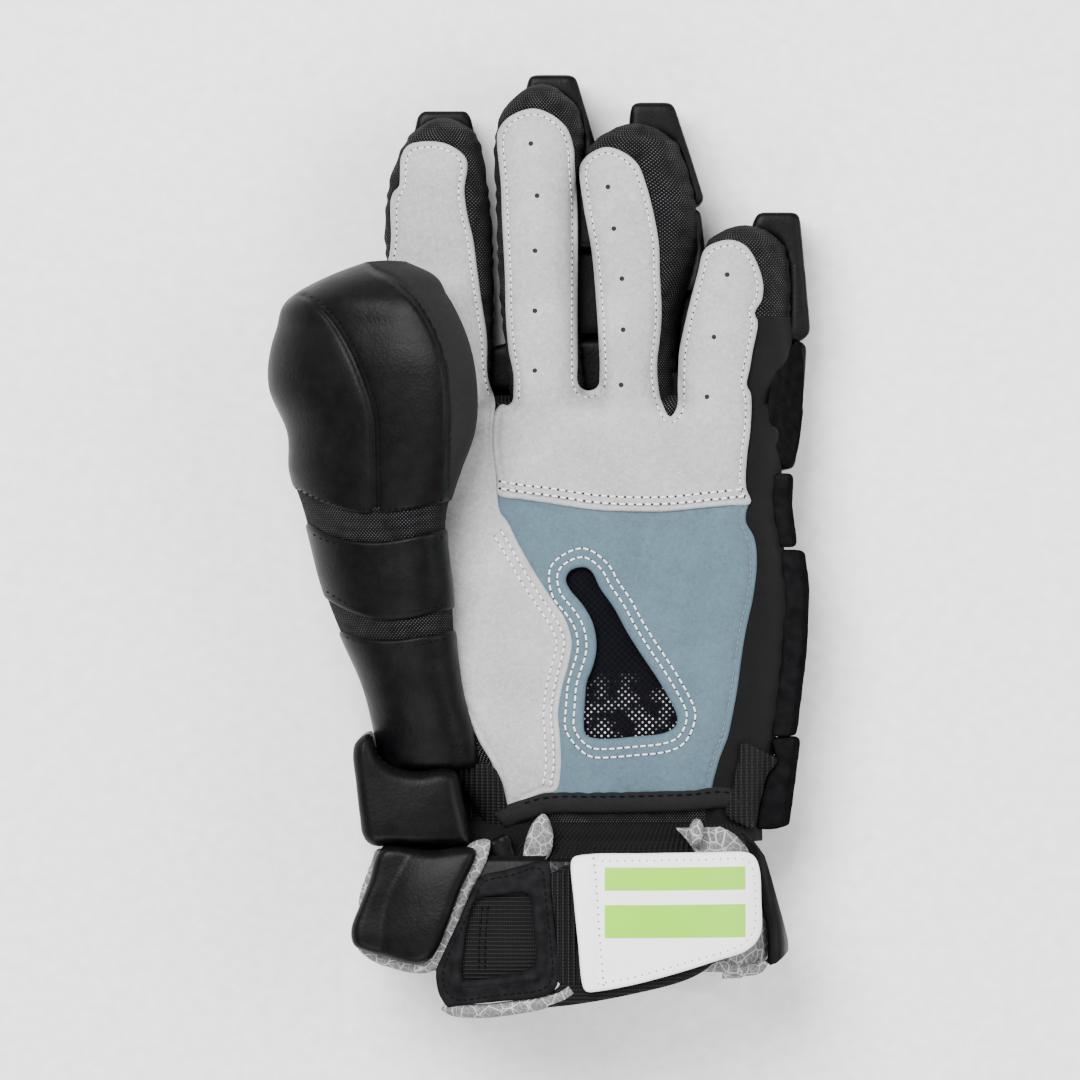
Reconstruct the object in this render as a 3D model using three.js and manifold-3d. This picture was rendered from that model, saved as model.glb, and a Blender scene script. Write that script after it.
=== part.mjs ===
// Lacrosse glove for the left hand, lying on the back of the hand with the palm up.
// Millimetres. +Y runs to the fingertips, +X to the little finger side, +Z up to the palm.
import * as THREE from 'three';
import { mergeVertices } from 'three/addons/utils/BufferGeometryUtils.js';
import Module from 'manifold-3d';

const wasm = await Module();
wasm.setup();

// Overall sizes
const GLOVE_LENGTH = 330;
const GLOVE_WIDTH = 191.5;

// Hand
const PAD_DEPTH = 18;
const FINGER_WIDTH = 28;
const FINGER_DEPTH = 27;
const PALM_DEPTH = 36;
const FABRIC = 2.2;

// Thumb
const THUMB_DEPTH = 50;
const THUMB_HEIGHT = 62;
const THUMB_PAD = 7;
const BAND_GROOVE = 2.2;

// Wrist and cuff
const WRAP_HEIGHT = 68;
const SIDE_PAD = 7;
const ELASTIC = 2.6;
const CUFF_DEPTH = 72;
const CUFF_WALL = 5.5;
const CUFF_LIFT = 0.6;
const LINING = 2;
const FLAP_THICK = 9.5;
const PATCH_THICK = 3.6;
const WEBBING = 2;
const TAB_THICK = 2.4;

// Clearance left between two pieces that touch
const SEAT = 0.35;

// The back of the hand lies on the pads
const BACK_Z = PAD_DEPTH + SEAT;
const PALM_FRONT = BACK_Z + PALM_DEPTH;
const FINGER_FRONT = BACK_Z + FINGER_DEPTH;

// How far the back of the hand leans towards the little finger, per unit of depth
const PALM_LEAN = { thumbSide: 0.12, littleSide: 0.45 };

const X = (share) => share * GLOVE_WIDTH;
const Y = (share) => share * GLOVE_LENGTH;

// Fingers. Columns: y of length, x of width, half width of FINGER_WIDTH,
// half depth of FINGER_DEPTH, rise of FINGER_DEPTH
const FINGERS = {
  index: {
    lean: 0.12,
    rows: [
      [0.098, -0.184, 0.62, 0.54, 0.04],
      [0.161, -0.188, 0.62, 0.54, 0.04],
      [0.258, -0.189, 0.655, 0.52, 0.02],
      [0.351, -0.196, 0.67, 0.51, 0.02],
      [0.402, -0.193, 0.575, 0.49, 0.04],
      [0.425, -0.187, 0.485, 0.45, 0.07],
      [0.440, -0.184, 0.37, 0.37, 0.10],
      [0.449, -0.183, 0.215, 0.20, 0.12],
    ],
  },
  middle: {
    lean: 0.19,
    rows: [
      [0.098, 0.009, 0.48, 0.54, 0.04],
      [0.161, 0.002, 0.465, 0.54, 0.04],
      [0.258, -0.015, 0.48, 0.52, 0.02],
      [0.370, -0.020, 0.50, 0.50, 0.02],
      [0.428, -0.013, 0.56, 0.46, 0.05],
      [0.452, -0.010, 0.52, 0.43, 0.07],
      [0.471, -0.008, 0.40, 0.35, 0.10],
      [0.485, -0.006, 0.20, 0.20, 0.12],
    ],
  },
  ring: {
    lean: 0.46,
    rows: [
      [0.098, 0.165, 0.42, 0.54, 0.04],
      [0.161, 0.158, 0.39, 0.54, 0.04],
      [0.236, 0.152, 0.44, 0.53, 0.02],
      [0.311, 0.163, 0.60, 0.50, 0.02],
      [0.368, 0.151, 0.68, 0.48, 0.03],
      [0.408, 0.146, 0.59, 0.44, 0.06],
      [0.430, 0.149, 0.46, 0.36, 0.09],
      [0.443, 0.151, 0.24, 0.20, 0.12],
    ],
  },
  little: {
    lean: 0.48,
    rows: [
      [0.098, 0.320, 0.49, 0.54, 0.04],
      [0.140, 0.321, 0.50, 0.54, 0.04],
      [0.190, 0.328, 0.61, 0.53, 0.03],
      [0.258, 0.338, 0.59, 0.51, 0.02],
      [0.290, 0.345, 0.53, 0.49, 0.02],
      [0.308, 0.347, 0.485, 0.46, 0.04],
      [0.323, 0.350, 0.40, 0.38, 0.08],
      [0.334, 0.352, 0.235, 0.21, 0.11],
    ],
  },
};

// Palm and back of the hand. Columns: y of length, left x of width, right x of width,
// half depth of PALM_DEPTH
const PALM_ROWS = [
  [-0.346, -0.114, 0.352, 0.44],
  [-0.300, -0.118, 0.356, 0.46],
  [-0.215, -0.224, 0.380, 0.50],
  [-0.120, -0.260, 0.402, 0.51],
  [-0.050, -0.255, 0.407, 0.505],
  [0.040, -0.262, 0.386, 0.48],
  [0.125, -0.276, 0.392, 0.425],
  [0.147, -0.268, 0.384, 0.37],
  [0.157, -0.250, 0.368, 0.24],
];
// How far the top of the palm drops towards the little finger, of the length
const PALM_SKEW = 0.008;

// Thumb. Columns: y of length, left x of width, right x of width, half depth of THUMB_DEPTH,
// height of the middle of THUMB_HEIGHT, tilt
const THUMB_ROWS = [
  [-0.249, -0.292, -0.105, 0.34, 0.70, 0.10],
  [-0.2065, -0.305, -0.118, 0.36, 0.74, 0.15],
  [-0.158, -0.325, -0.140, 0.38, 0.79, 0.20],
  [-0.096, -0.371, -0.153, 0.41, 0.84, 0.25],
  [-0.062, -0.394, -0.156, 0.42, 0.87, 0.28],
  [0.035, -0.439, -0.164, 0.44, 0.96, 0.36],
  [0.076, -0.461, -0.142, 0.46, 0.98, 0.38],
  [0.113, -0.463, -0.119, 0.48, 1.00, 0.38],
  [0.165, -0.498, -0.114, 0.50, 1.00, 0.38],
  [0.226, -0.484, -0.138, 0.48, 1.00, 0.38],
  [0.261, -0.455, -0.169, 0.42, 1.00, 0.36],
  [0.285, -0.375, -0.200, 0.29, 1.00, 0.33],
  [0.297, -0.318, -0.245, 0.14, 1.00, 0.30],
];

// Cuff. Columns: y of length, left x of width, right x of width, half depth of CUFF_DEPTH
const CUFF_ROWS = [
  [-0.265, -0.276, 0.360, 0.44],
  [-0.301, -0.289, 0.440, 0.455],
  [-0.340, -0.309, 0.445, 0.48],
  [-0.383, -0.331, 0.450, 0.495],
  [-0.432, -0.338, 0.458, 0.50],
  [-0.502, -0.327, 0.448, 0.495],
];

// Outlines seen from above. Columns: x of width, y of length
const INDEX_FRONT = [
  [-0.064, 0.112], [-0.066, 0.144], [-0.079, 0.150], [-0.092, 0.172], [-0.103, 0.210],
  [-0.114, 0.258], [-0.121, 0.306], [-0.131, 0.348], [-0.137, 0.380], [-0.134, 0.402],
  [-0.145, 0.418], [-0.169, 0.426], [-0.202, 0.428], [-0.235, 0.425], [-0.254, 0.415],
  [-0.259, 0.396], [-0.265, 0.375], [-0.276, 0.361], [-0.274, 0.327], [-0.283, 0.298],
  [-0.290, 0.268], [-0.202, 0.254], [-0.122, 0.216], [-0.103, 0.167], [-0.103, 0.124],
];
const MIDDLE_FRONT = [
  [-0.049, 0.112], [-0.051, 0.153], [-0.055, 0.204], [-0.064, 0.268], [-0.072, 0.364],
  [-0.077, 0.418], [-0.073, 0.441], [-0.051, 0.456], [-0.015, 0.463], [0.022, 0.457],
  [0.050, 0.442], [0.062, 0.422], [0.064, 0.364], [0.069, 0.300], [0.069, 0.226],
  [0.070, 0.164], [0.074, 0.112],
];
const RING_FRONT = [
  [0.112, 0.112], [0.110, 0.164], [0.105, 0.226], [0.096, 0.300], [0.083, 0.359],
  [0.074, 0.394], [0.081, 0.410], [0.103, 0.419], [0.125, 0.421], [0.154, 0.417],
  [0.180, 0.404], [0.195, 0.382], [0.211, 0.343], [0.219, 0.300], [0.222, 0.236],
  [0.217, 0.188], [0.222, 0.146], [0.226, 0.112],
];
const LITTLE_FRONT = [
  [0.254, 0.112], [0.257, 0.146], [0.257, 0.199], [0.270, 0.239], [0.290, 0.288],
  [0.301, 0.309], [0.324, 0.320], [0.353, 0.323], [0.379, 0.315], [0.399, 0.298],
  [0.410, 0.275], [0.408, 0.256], [0.397, 0.239], [0.393, 0.204], [0.381, 0.167],
  [0.388, 0.151], [0.390, 0.112],
];
const UPPER_PALM = [
  [-0.103, 0.151], [-0.064, 0.144], [0.010, 0.150], [0.090, 0.156], [0.165, 0.142],
  [0.239, 0.125], [0.320, 0.142], [0.388, 0.154], [0.388, 0.124], [0.381, 0.092],
  [0.379, 0.058], [0.388, 0.040], [0.300, 0.036], [0.230, 0.032], [0.116, 0.033],
  [0.013, 0.041], [-0.077, 0.050], [-0.083, 0.066], [-0.092, 0.091], [-0.103, 0.108],
];
const THENAR = [
  [-0.310, 0.262], [-0.202, 0.254], [-0.122, 0.216], [-0.103, 0.167], [-0.103, 0.108],
  [-0.092, 0.091], [-0.083, 0.066], [-0.079, 0.050], [-0.079, 0.029], [-0.057, 0.020],
  [-0.037, -0.004], [-0.004, -0.037], [0.029, -0.066], [0.050, -0.085], [0.061, -0.106],
  [0.053, -0.131], [0.040, -0.156], [0.035, -0.185], [0.039, -0.212], [0.040, -0.244],
  [0.033, -0.290], [-0.066, -0.300], [-0.200, -0.300], [-0.320, -0.220], [-0.340, 0.000],
];
const HEEL = [
  [-0.090, 0.055], [0.013, 0.044], [0.116, 0.040], [0.388, 0.044], [0.381, 0.020],
  [0.395, 0.004], [0.401, -0.019], [0.399, -0.042], [0.388, -0.066], [0.379, -0.102],
  [0.369, -0.137], [0.358, -0.185], [0.346, -0.207], [0.325, -0.243], [0.316, -0.290],
  [0.030, -0.290], [-0.030, -0.100], [-0.090, 0.000],
];
const WINDOW = [
  [0.070, -0.027], [0.051, -0.034], [0.048, -0.041], [0.055, -0.052], [0.079, -0.069],
  [0.096, -0.086], [0.103, -0.105], [0.101, -0.121], [0.088, -0.148], [0.083, -0.169],
  [0.081, -0.193], [0.088, -0.207], [0.107, -0.210], [0.173, -0.208], [0.230, -0.203],
  [0.248, -0.198], [0.250, -0.184], [0.219, -0.149], [0.189, -0.123], [0.160, -0.097],
  [0.136, -0.071], [0.110, -0.049], [0.094, -0.033],
];
const HEM = [
  [-0.063, -0.281], [-0.033, -0.274], [0.000, -0.268], [0.037, -0.266], [0.191, -0.262],
  [0.316, -0.258], [0.338, -0.259], [0.340, -0.290], [0.294, -0.292], [0.191, -0.292],
  [0.000, -0.291], [-0.029, -0.299], [-0.060, -0.305],
];
const SIDE_PANEL = [
  [0.395, 0.241], [0.560, 0.241], [0.560, -0.292], [0.344, -0.292], [0.320, -0.262],
  [0.336, -0.239], [0.352, -0.207], [0.364, -0.174], [0.375, -0.137], [0.385, -0.102],
  [0.394, -0.066], [0.405, -0.042], [0.407, -0.019], [0.401, 0.004], [0.387, 0.020],
  [0.394, 0.040], [0.385, 0.058], [0.387, 0.092], [0.394, 0.124], [0.394, 0.151],
  [0.387, 0.167], [0.399, 0.204], [0.403, 0.235],
];
const SIDE_PATCH = [
  [0.500, 0.205], [0.460, 0.202], [0.438, 0.181], [0.419, 0.156], [0.414, 0.130],
  [0.421, 0.105], [0.438, 0.087], [0.452, 0.077], [0.478, 0.077], [0.540, 0.100],
  [0.540, 0.190],
];
const SIDE_SMALL = [
  [0.430, 0.072], [0.560, 0.072], [0.560, -0.005], [0.424, -0.005], [0.414, 0.030],
];
const SIDE_LONG = [
  [0.421, -0.010], [0.560, -0.010], [0.560, -0.206], [0.436, -0.208], [0.378, -0.198],
  [0.388, -0.167], [0.399, -0.128], [0.408, -0.079], [0.412, -0.040],
];
const WRIST_PAD = [
  [0.428, -0.212], [0.560, -0.206], [0.560, -0.300], [0.422, -0.307], [0.396, -0.307],
  [0.408, -0.275], [0.421, -0.250], [0.438, -0.231],
];
const WRIST_ELASTIC = [
  [0.380, -0.212], [0.433, -0.230], [0.415, -0.252], [0.403, -0.277], [0.390, -0.306],
  [0.349, -0.293],
];
const WRAP = [
  [-0.305, -0.203], [-0.340, -0.214], [-0.342, -0.233], [-0.335, -0.275], [-0.327, -0.309],
  [-0.309, -0.322], [-0.220, -0.3235], [-0.123, -0.324], [-0.136, -0.285], [-0.154, -0.246],
  [-0.176, -0.239], [-0.221, -0.242], [-0.263, -0.237], [-0.292, -0.224],
];
const WRAP_ELASTIC = [
  [-0.149, -0.240], [-0.099, -0.236], [-0.077, -0.245], [-0.066, -0.263], [-0.064, -0.283],
  [-0.061, -0.306], [-0.092, -0.313], [-0.117, -0.319],
];
const CAP_SEAM = [
  [-0.480, 0.300], [-0.428, 0.262], [-0.388, 0.240], [-0.351, 0.208], [-0.322, 0.168],
  [-0.305, 0.132], [-0.300, 0.100], [-0.300, 0.010],
];
const CAP_RIM = [
  [-0.320, 0.310], [-0.306, 0.290], [-0.272, 0.280], [-0.232, 0.259], [-0.199, 0.231],
  [-0.173, 0.193], [-0.162, 0.151], [-0.164, 0.100], [-0.167, 0.010],
];
const BAND_LINES = {
  capLow: [
    [-0.560, 0.058], [-0.460, 0.047], [-0.386, 0.030],
    [-0.309, 0.023], [-0.239, 0.027], [-0.100, 0.046],
  ],
  midHigh: [
    [-0.560, 0.036], [-0.427, 0.019], [-0.377, 0.006],
    [-0.309, 0.000], [-0.239, 0.004], [-0.100, 0.020],
  ],
  midLow: [
    [-0.560, -0.034], [-0.423, -0.054], [-0.352, -0.074],
    [-0.298, -0.081], [-0.239, -0.081], [-0.100, -0.062],
  ],
  lowHigh: [
    [-0.560, -0.068], [-0.400, -0.090], [-0.349, -0.101],
    [-0.271, -0.104], [-0.217, -0.100], [-0.100, -0.082],
  ],
};
const CUFF_BACK = [
  [-0.110, -0.327], [-0.070, -0.306], [0.372, -0.306], [0.414, -0.330], [0.436, -0.367],
  [0.454, -0.420], [0.455, -0.437], [0.440, -0.452], [0.401, -0.464], [-0.257, -0.464],
  [-0.327, -0.450], [-0.380, -0.415], [-0.380, -0.360], [-0.320, -0.327],
];
const CUFF_OPENING = [
  [-0.129, -0.250], [0.342, -0.250], [0.344, -0.303], [0.372, -0.316], [0.400, -0.333],
  [0.417, -0.367], [0.430, -0.407], [0.436, -0.450], [0.440, -0.520], [0.000, -0.520],
  [0.010, -0.430], [0.010, -0.350], [-0.074, -0.342], [-0.129, -0.335],
];
const CUFF_FRONT = [
  [-0.300, -0.331], [-0.345, -0.378], [-0.335, -0.412], [-0.257, -0.445], [-0.189, -0.459],
  [-0.189, -0.479], [-0.169, -0.493], [0.013, -0.477], [0.033, -0.470], [0.035, -0.450],
  [0.024, -0.371], [0.020, -0.346], [0.013, -0.338], [-0.015, -0.342], [-0.116, -0.349],
  [-0.184, -0.340],
];
const FLAP = [
  [-0.283, -0.327], [-0.116, -0.327], [-0.151, -0.376], [-0.176, -0.423], [-0.193, -0.441],
  [-0.215, -0.448], [-0.260, -0.443], [-0.316, -0.434], [-0.340, -0.424], [-0.344, -0.409],
  [-0.328, -0.382], [-0.309, -0.356],
];
const FLAP_PIPING = [
  [-0.130, -0.327], [-0.092, -0.320], [-0.096, -0.336], [-0.130, -0.379], [-0.154, -0.417],
  [-0.173, -0.444], [-0.197, -0.456], [-0.228, -0.457], [-0.270, -0.451], [-0.307, -0.444],
  [-0.320, -0.434], [-0.215, -0.444], [-0.180, -0.420], [-0.155, -0.376],
];
const PATCH = [
  [-0.165, -0.353], [-0.015, -0.343], [0.013, -0.339], [0.019, -0.346], [0.024, -0.371],
  [0.034, -0.450], [0.033, -0.468], [0.013, -0.476], [-0.154, -0.492], [-0.169, -0.490],
  [-0.184, -0.473], [-0.188, -0.447],
];
const PATCH_WINDOW = [
  [-0.121, -0.373], [-0.022, -0.366], [-0.010, -0.372], [-0.003, -0.441], [-0.010, -0.450],
  [-0.143, -0.470], [-0.153, -0.463], [-0.151, -0.415],
];
const STRAP_BASE = [
  [0.072, -0.348], [0.396, -0.348], [0.396, -0.405], [0.368, -0.431], [0.281, -0.462],
  [0.010, -0.494], [0.016, -0.481], [0.046, -0.474], [0.092, -0.474],
];
const STRAP_ELASTIC = [
  [0.030, -0.347], [0.068, -0.342], [0.088, -0.470], [0.040, -0.470],
];
const STRAP_ANCHOR = [
  [0.350, -0.352], [0.388, -0.352], [0.388, -0.402], [0.350, -0.402],
];
const PULL_TAB = [
  [0.059, -0.335], [0.099, -0.330], [0.369, -0.328], [0.393, -0.336], [0.403, -0.348],
  [0.406, -0.394], [0.401, -0.419], [0.373, -0.432], [0.265, -0.450], [0.088, -0.474],
  [0.077, -0.469],
];

// Padded segments behind the fingers. Columns: lower y, upper y of length, lower x, upper x of
// width, lower and upper half width of FINGER_WIDTH, rise of PAD_DEPTH, reach up the finger of
// FINGER_DEPTH
const FINGER_PADS = {
  index_pad_tip: [0.378, 0.4605, -0.177, -0.177, 0.52, 0.32, 0.16, 0.4],
  index_pad_middle: [0.297, 0.375, -0.173, -0.177, 0.54, 0.52, 0.05, 0.4],
  index_pad_base: [0.211, 0.294, -0.168, -0.173, 0.55, 0.53, 0, 0.12],
  middle_pad_tip: [0.410, 0.4995, 0.030, 0.023, 0.52, 0.30, 0.16, 0.4],
  middle_pad_middle: [0.3155, 0.407, 0.036, 0.030, 0.54, 0.52, 0.05, 0.4],
  middle_pad_base: [0.222, 0.3125, 0.041, 0.037, 0.54, 0.53, 0, 0.12],
  ring_pad_tip: [0.361, 0.470, 0.230, 0.208, 0.50, 0.27, 0.16, 0.4],
  ring_pad_middle: [0.2685, 0.358, 0.238, 0.222, 0.50, 0.50, 0.05, 0.4],
  ring_pad_base: [0.183, 0.2655, 0.246, 0.239, 0.50, 0.50, 0, 0.12],
  little_pad_tip: [0.217, 0.352, 0.421, 0.440, 0.52, 0.28, 0.14, 0.4],
  little_pad_base: [0.151, 0.214, 0.413, 0.420, 0.50, 0.50, 0, 0.12],
};
const BACK_PADS = {
  knuckle_pad: [
    [-0.250, 0.206], [-0.099, 0.206], [-0.031, 0.217], [0.119, 0.217], [0.185, 0.178],
    [0.320, 0.178], [0.329, 0.1465], [0.488, 0.146], [0.470, 0.080], [0.380, 0.070],
    [0.110, 0.066], [-0.165, 0.070], [-0.250, 0.080],
  ],
  back_pad_index: [
    [-0.250, 0.074], [-0.160, 0.064], [0.085, 0.060], [0.085, -0.170], [-0.190, -0.170],
    [-0.235, -0.100],
  ],
  back_pad_little: [
    [0.095, 0.060], [0.370, 0.064], [0.410, 0.068], [0.405, -0.100], [0.385, -0.170],
    [0.095, -0.170],
  ],
  back_pad_wrist: [
    [-0.190, -0.178], [0.385, -0.178], [0.370, -0.250], [0.350, -0.294], [-0.115, -0.294],
    [-0.165, -0.240],
  ],
};

// Small geometry helpers

// A three.js geometry as a solid
function solidOf(geometry) {
  const bare = geometry.clone();
  bare.deleteAttribute('normal');
  bare.deleteAttribute('uv');
  const merged = mergeVertices(bare, 1e-4);
  return new wasm.Manifold(new wasm.Mesh({
    numProp: 3,
    vertProperties: Float32Array.from(merged.attributes.position.array),
    triVerts: Uint32Array.from(merged.index.array),
  }));
}

// Closed surface through rings of equal count, its two ends closed by fans
function loft(rings) {
  const count = rings[0].length;
  const positions = [];
  for (const ring of rings) {
    for (const point of ring) positions.push(...point);
  }
  const middle = (ring) => [0, 1, 2].map((axis) => ring.reduce((sum, p) => sum + p[axis], 0) / count);
  const first = positions.length / 3;
  positions.push(...middle(rings[0]), ...middle(rings[rings.length - 1]));
  const index = [];
  for (let row = 0; row + 1 < rings.length; row += 1) {
    for (let k = 0; k < count; k += 1) {
      const a = row * count + k;
      const b = row * count + ((k + 1) % count);
      index.push(a, b, a + count, b, b + count, a + count);
    }
  }
  const last = (rings.length - 1) * count;
  for (let k = 0; k < count; k += 1) {
    const next = (k + 1) % count;
    index.push(first, next, k);
    index.push(first + 1, last + k, last + next);
  }
  const geometry = new THREE.BufferGeometry();
  geometry.setAttribute('position', new THREE.Float32BufferAttribute(positions, 3));
  geometry.setIndex(index);
  if (signedVolume(positions, index) < 0) {
    for (let i = 0; i < index.length; i += 3) {
      [index[i], index[i + 1]] = [index[i + 1], index[i]];
    }
    geometry.setIndex(index);
  }
  return solidOf(geometry);
}

function signedVolume(positions, index) {
  const corner = (i) => new THREE.Vector3().fromArray(positions, 3 * i);
  let total = 0;
  for (let i = 0; i < index.length; i += 3) {
    total += corner(index[i]).dot(corner(index[i + 1]).cross(corner(index[i + 2])));
  }
  return total;
}

// Outline in millimetres from shares of width and length
const outline = (rows) => rows.map(([x, y]) => [X(x), Y(y)]);

// Outline through the same points with more of them between
function rounded(points, count) {
  const curve = new THREE.CatmullRomCurve3(
    points.map(([x, y]) => new THREE.Vector3(x, y, 0)), true, 'centripetal');
  return curve.getPoints(count).slice(0, count).map((p) => [p.x, p.y]);
}

// Outline moved outwards by a distance
function grown(points, distance) {
  const area = THREE.ShapeUtils.area(points.map(([x, y]) => new THREE.Vector2(x, y)));
  const side = area > 0 ? 1 : -1;
  return points.map(([x, y], i) => {
    const [px, py] = points[(i + points.length - 1) % points.length];
    const [nx, ny] = points[(i + 1) % points.length];
    const before = new THREE.Vector2(x - px, y - py).normalize();
    const after = new THREE.Vector2(nx - x, ny - y).normalize();
    const along = before.add(after).normalize();
    return [x + side * distance * along.y, y - side * distance * along.x];
  });
}

// Upright prism over an outline
function prism(points, low, high) {
  const shape = new THREE.Shape(points.map(([x, y]) => new THREE.Vector2(x, y)));
  const geometry = new THREE.ExtrudeGeometry(shape, { depth: high - low, bevelEnabled: false });
  geometry.translate(0, 0, low);
  return solidOf(geometry);
}

// Box between two corners
function box(low, high) {
  const geometry = new THREE.BoxGeometry(high[0] - low[0], high[1] - low[1], high[2] - low[2]);
  geometry.translate((low[0] + high[0]) / 2, (low[1] + high[1]) / 2, (low[2] + high[2]) / 2);
  return solidOf(geometry);
}

// Ring of a flattened tube across the length
function ring({ y, x, z, halfWidth, halfDepth, power, sides, lean, front, tilt = 0, skew = 0 }) {
  const points = [];
  for (let k = 0; k < sides; k += 1) {
    const angle = (2 * Math.PI * k) / sides;
    const c = Math.cos(angle);
    const s = Math.sin(angle);
    const u = Math.sign(c) * Math.abs(c) ** (2 / power);
    const v = Math.sign(s) * Math.abs(s) ** (2 / power);
    const height = z + halfDepth * v + tilt * halfWidth * u;
    const across = x + halfWidth * u + lean(u) * (front - height);
    points.push([across, y - skew * u, height]);
  }
  return points;
}

// Value of one column of a table at a given y
function columnAt(rows, y, column) {
  const sorted = [...rows].sort((a, b) => a[0] - b[0]);
  if (y <= sorted[0][0]) return sorted[0][column];
  for (let i = 0; i + 1 < sorted.length; i += 1) {
    const [low, high] = [sorted[i], sorted[i + 1]];
    if (y <= high[0]) {
      return low[column] + ((high[column] - low[column]) * (y - low[0])) / (high[0] - low[0]);
    }
  }
  return sorted[sorted.length - 1][column];
}

// Bodies that the pieces are cut from

const FAR = GLOVE_LENGTH;
const halfSpace = (low, high) => box([-FAR, low, -FAR], [FAR, high, FAR]);
const above = (z) => box([-FAR, -FAR, z], [FAR, FAR, FAR]);

function fingerBody(name, grow) {
  const { lean, rows } = FINGERS[name];
  return loft(rows.map(([y, x, halfWidth, halfDepth, rise], i) => ring({
    y: Y(y) + (i === rows.length - 1 ? grow : 0),
    x: X(x),
    z: BACK_Z + FINGER_DEPTH * (0.5 + rise),
    halfWidth: halfWidth * FINGER_WIDTH + grow,
    halfDepth: halfDepth * FINGER_DEPTH + grow,
    power: 2.4,
    sides: 12,
    lean: () => lean,
    front: FINGER_FRONT,
  })));
}

function palmBody(grow) {
  const { thumbSide, littleSide } = PALM_LEAN;
  return loft(PALM_ROWS.map(([y, left, right, halfDepth], i) => ring({
    y: Y(y) + (i === PALM_ROWS.length - 1 ? grow : 0),
    x: (X(left) + X(right)) / 2,
    z: BACK_Z + halfDepth * PALM_DEPTH,
    halfWidth: (X(right) - X(left)) / 2 + grow,
    halfDepth: halfDepth * PALM_DEPTH + grow,
    power: 3,
    sides: 16,
    lean: (u) => thumbSide + ((littleSide - thumbSide) * (u + 1)) / 2,
    front: PALM_FRONT,
    skew: i >= PALM_ROWS.length - 3 ? Y(PALM_SKEW) : 0,
  })));
}

function handBody(grow) {
  return Object.keys(FINGERS).reduce((body, name) => body.add(fingerBody(name, grow)), palmBody(grow));
}

function thumbBody(grow) {
  const last = THUMB_ROWS.length - 1;
  return loft(THUMB_ROWS.map(([y, left, right, halfDepth, height, tilt], i) => {
    const halfWidth = (X(right) - X(left)) / 2;
    const tipShare = [1, 0.7, 0.3][last - i] ?? 0;
    const aside = grow * (i === last ? 0.5 : 1);
    return ring({
      y: Y(y) + grow * tipShare,
      x: (X(left) + X(right)) / 2,
      z: height * THUMB_HEIGHT,
      halfWidth: Math.max(halfWidth + aside, halfWidth * 0.25),
      halfDepth: Math.max(halfDepth * THUMB_DEPTH + aside, halfDepth * THUMB_DEPTH * 0.3),
      power: 2.4,
      sides: 14,
      lean: () => 0,
      front: 0,
      tilt,
    });
  }));
}

function cuffRings(grow) {
  return CUFF_ROWS.map(([y, left, right, halfDepth]) => ring({
    y: Y(y),
    x: (X(left) + X(right)) / 2,
    z: CUFF_LIFT + halfDepth * CUFF_DEPTH,
    halfWidth: (X(right) - X(left)) / 2 + grow,
    halfDepth: halfDepth * CUFF_DEPTH + grow,
    power: 2.6,
    sides: 20,
    lean: () => 0,
    front: 0,
  }));
}
const cuffBody = (grow) => loft(cuffRings(grow));

// Part of a solid inside a prism, and a solid without a prism
const FRONT_OF_FINGER = BACK_Z + FINGER_DEPTH * 0.56;
const FRONT_OF_PALM = BACK_Z + PALM_DEPTH * 0.5;
const MIDDLE_OF_CUFF = CUFF_LIFT + CUFF_DEPTH * 0.5;
const TOP = 2 * THUMB_HEIGHT;

const pieces = [];
const solids = {};

function largest(solid) {
  const parts = solid.decompose();
  return parts.reduce((best, part) => (part.volume() > best.volume() ? part : best));
}

function piece(name, solid, look) {
  solids[name] = largest(solid);
  pieces.push({ name, look });
  return solids[name];
}

const LOOKS = {
  paleSuede: { color: 0xc8c8c8, roughness: 0.9, metalness: 0 },
  blueSuede: { color: 0x748e9c, roughness: 0.9, metalness: 0 },
  blackLeather: { color: 0x232323, roughness: 0.5, metalness: 0 },
  darkSuede: { color: 0x343434, roughness: 0.9, metalness: 0 },
  blackMesh: { color: 0x1a1a1a, roughness: 0.8, metalness: 0 },
  blackKnit: { color: 0x161616, roughness: 0.9, metalness: 0 },
  lining: { color: 0x8c8c8c, roughness: 0.7, metalness: 0 },
  moulded: { color: 0x1e1e1e, roughness: 0.45, metalness: 0 },
  webbing: { color: 0x181818, roughness: 0.8, metalness: 0 },
  white: { color: 0xf2f2f2, roughness: 0.5, metalness: 0 },
};

// Hand shell and the panels cut from it

const handOuter = handBody(0);
const handInner = handBody(-FABRIC);
const handShell = handOuter.subtract(handInner);
const handSeat = handBody(SEAT);
const WRIST_END = Y(-0.3035);
const FINGER_ROOT = Y(0.163);

const fingerFronts = [INDEX_FRONT, MIDDLE_FRONT, RING_FRONT, LITTLE_FRONT];
function paleRegion(grow) {
  const parts = fingerFronts.map((rows) => prism(grown(outline(rows), grow), FRONT_OF_FINGER - grow, TOP));
  const palm = prism(grown(outline(UPPER_PALM), grow), FRONT_OF_FINGER - grow, TOP);
  return parts.reduce((all, part) => all.add(part), palm);
}
function region(rows, grow, low, count = 0) {
  const points = outline(rows);
  return prism(grown(count ? rounded(points, count) : points, grow), low - grow, TOP);
}

const thumbHollow = thumbBody(-THUMB_PAD - SEAT - FABRIC);
const hemRegion = (grow) => region(HEM, grow, FRONT_OF_PALM);
const thenarRegion = (grow) => region(THENAR, grow, FRONT_OF_PALM);
const heelRegion = (grow) => region(HEEL, grow, FRONT_OF_PALM);

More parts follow.
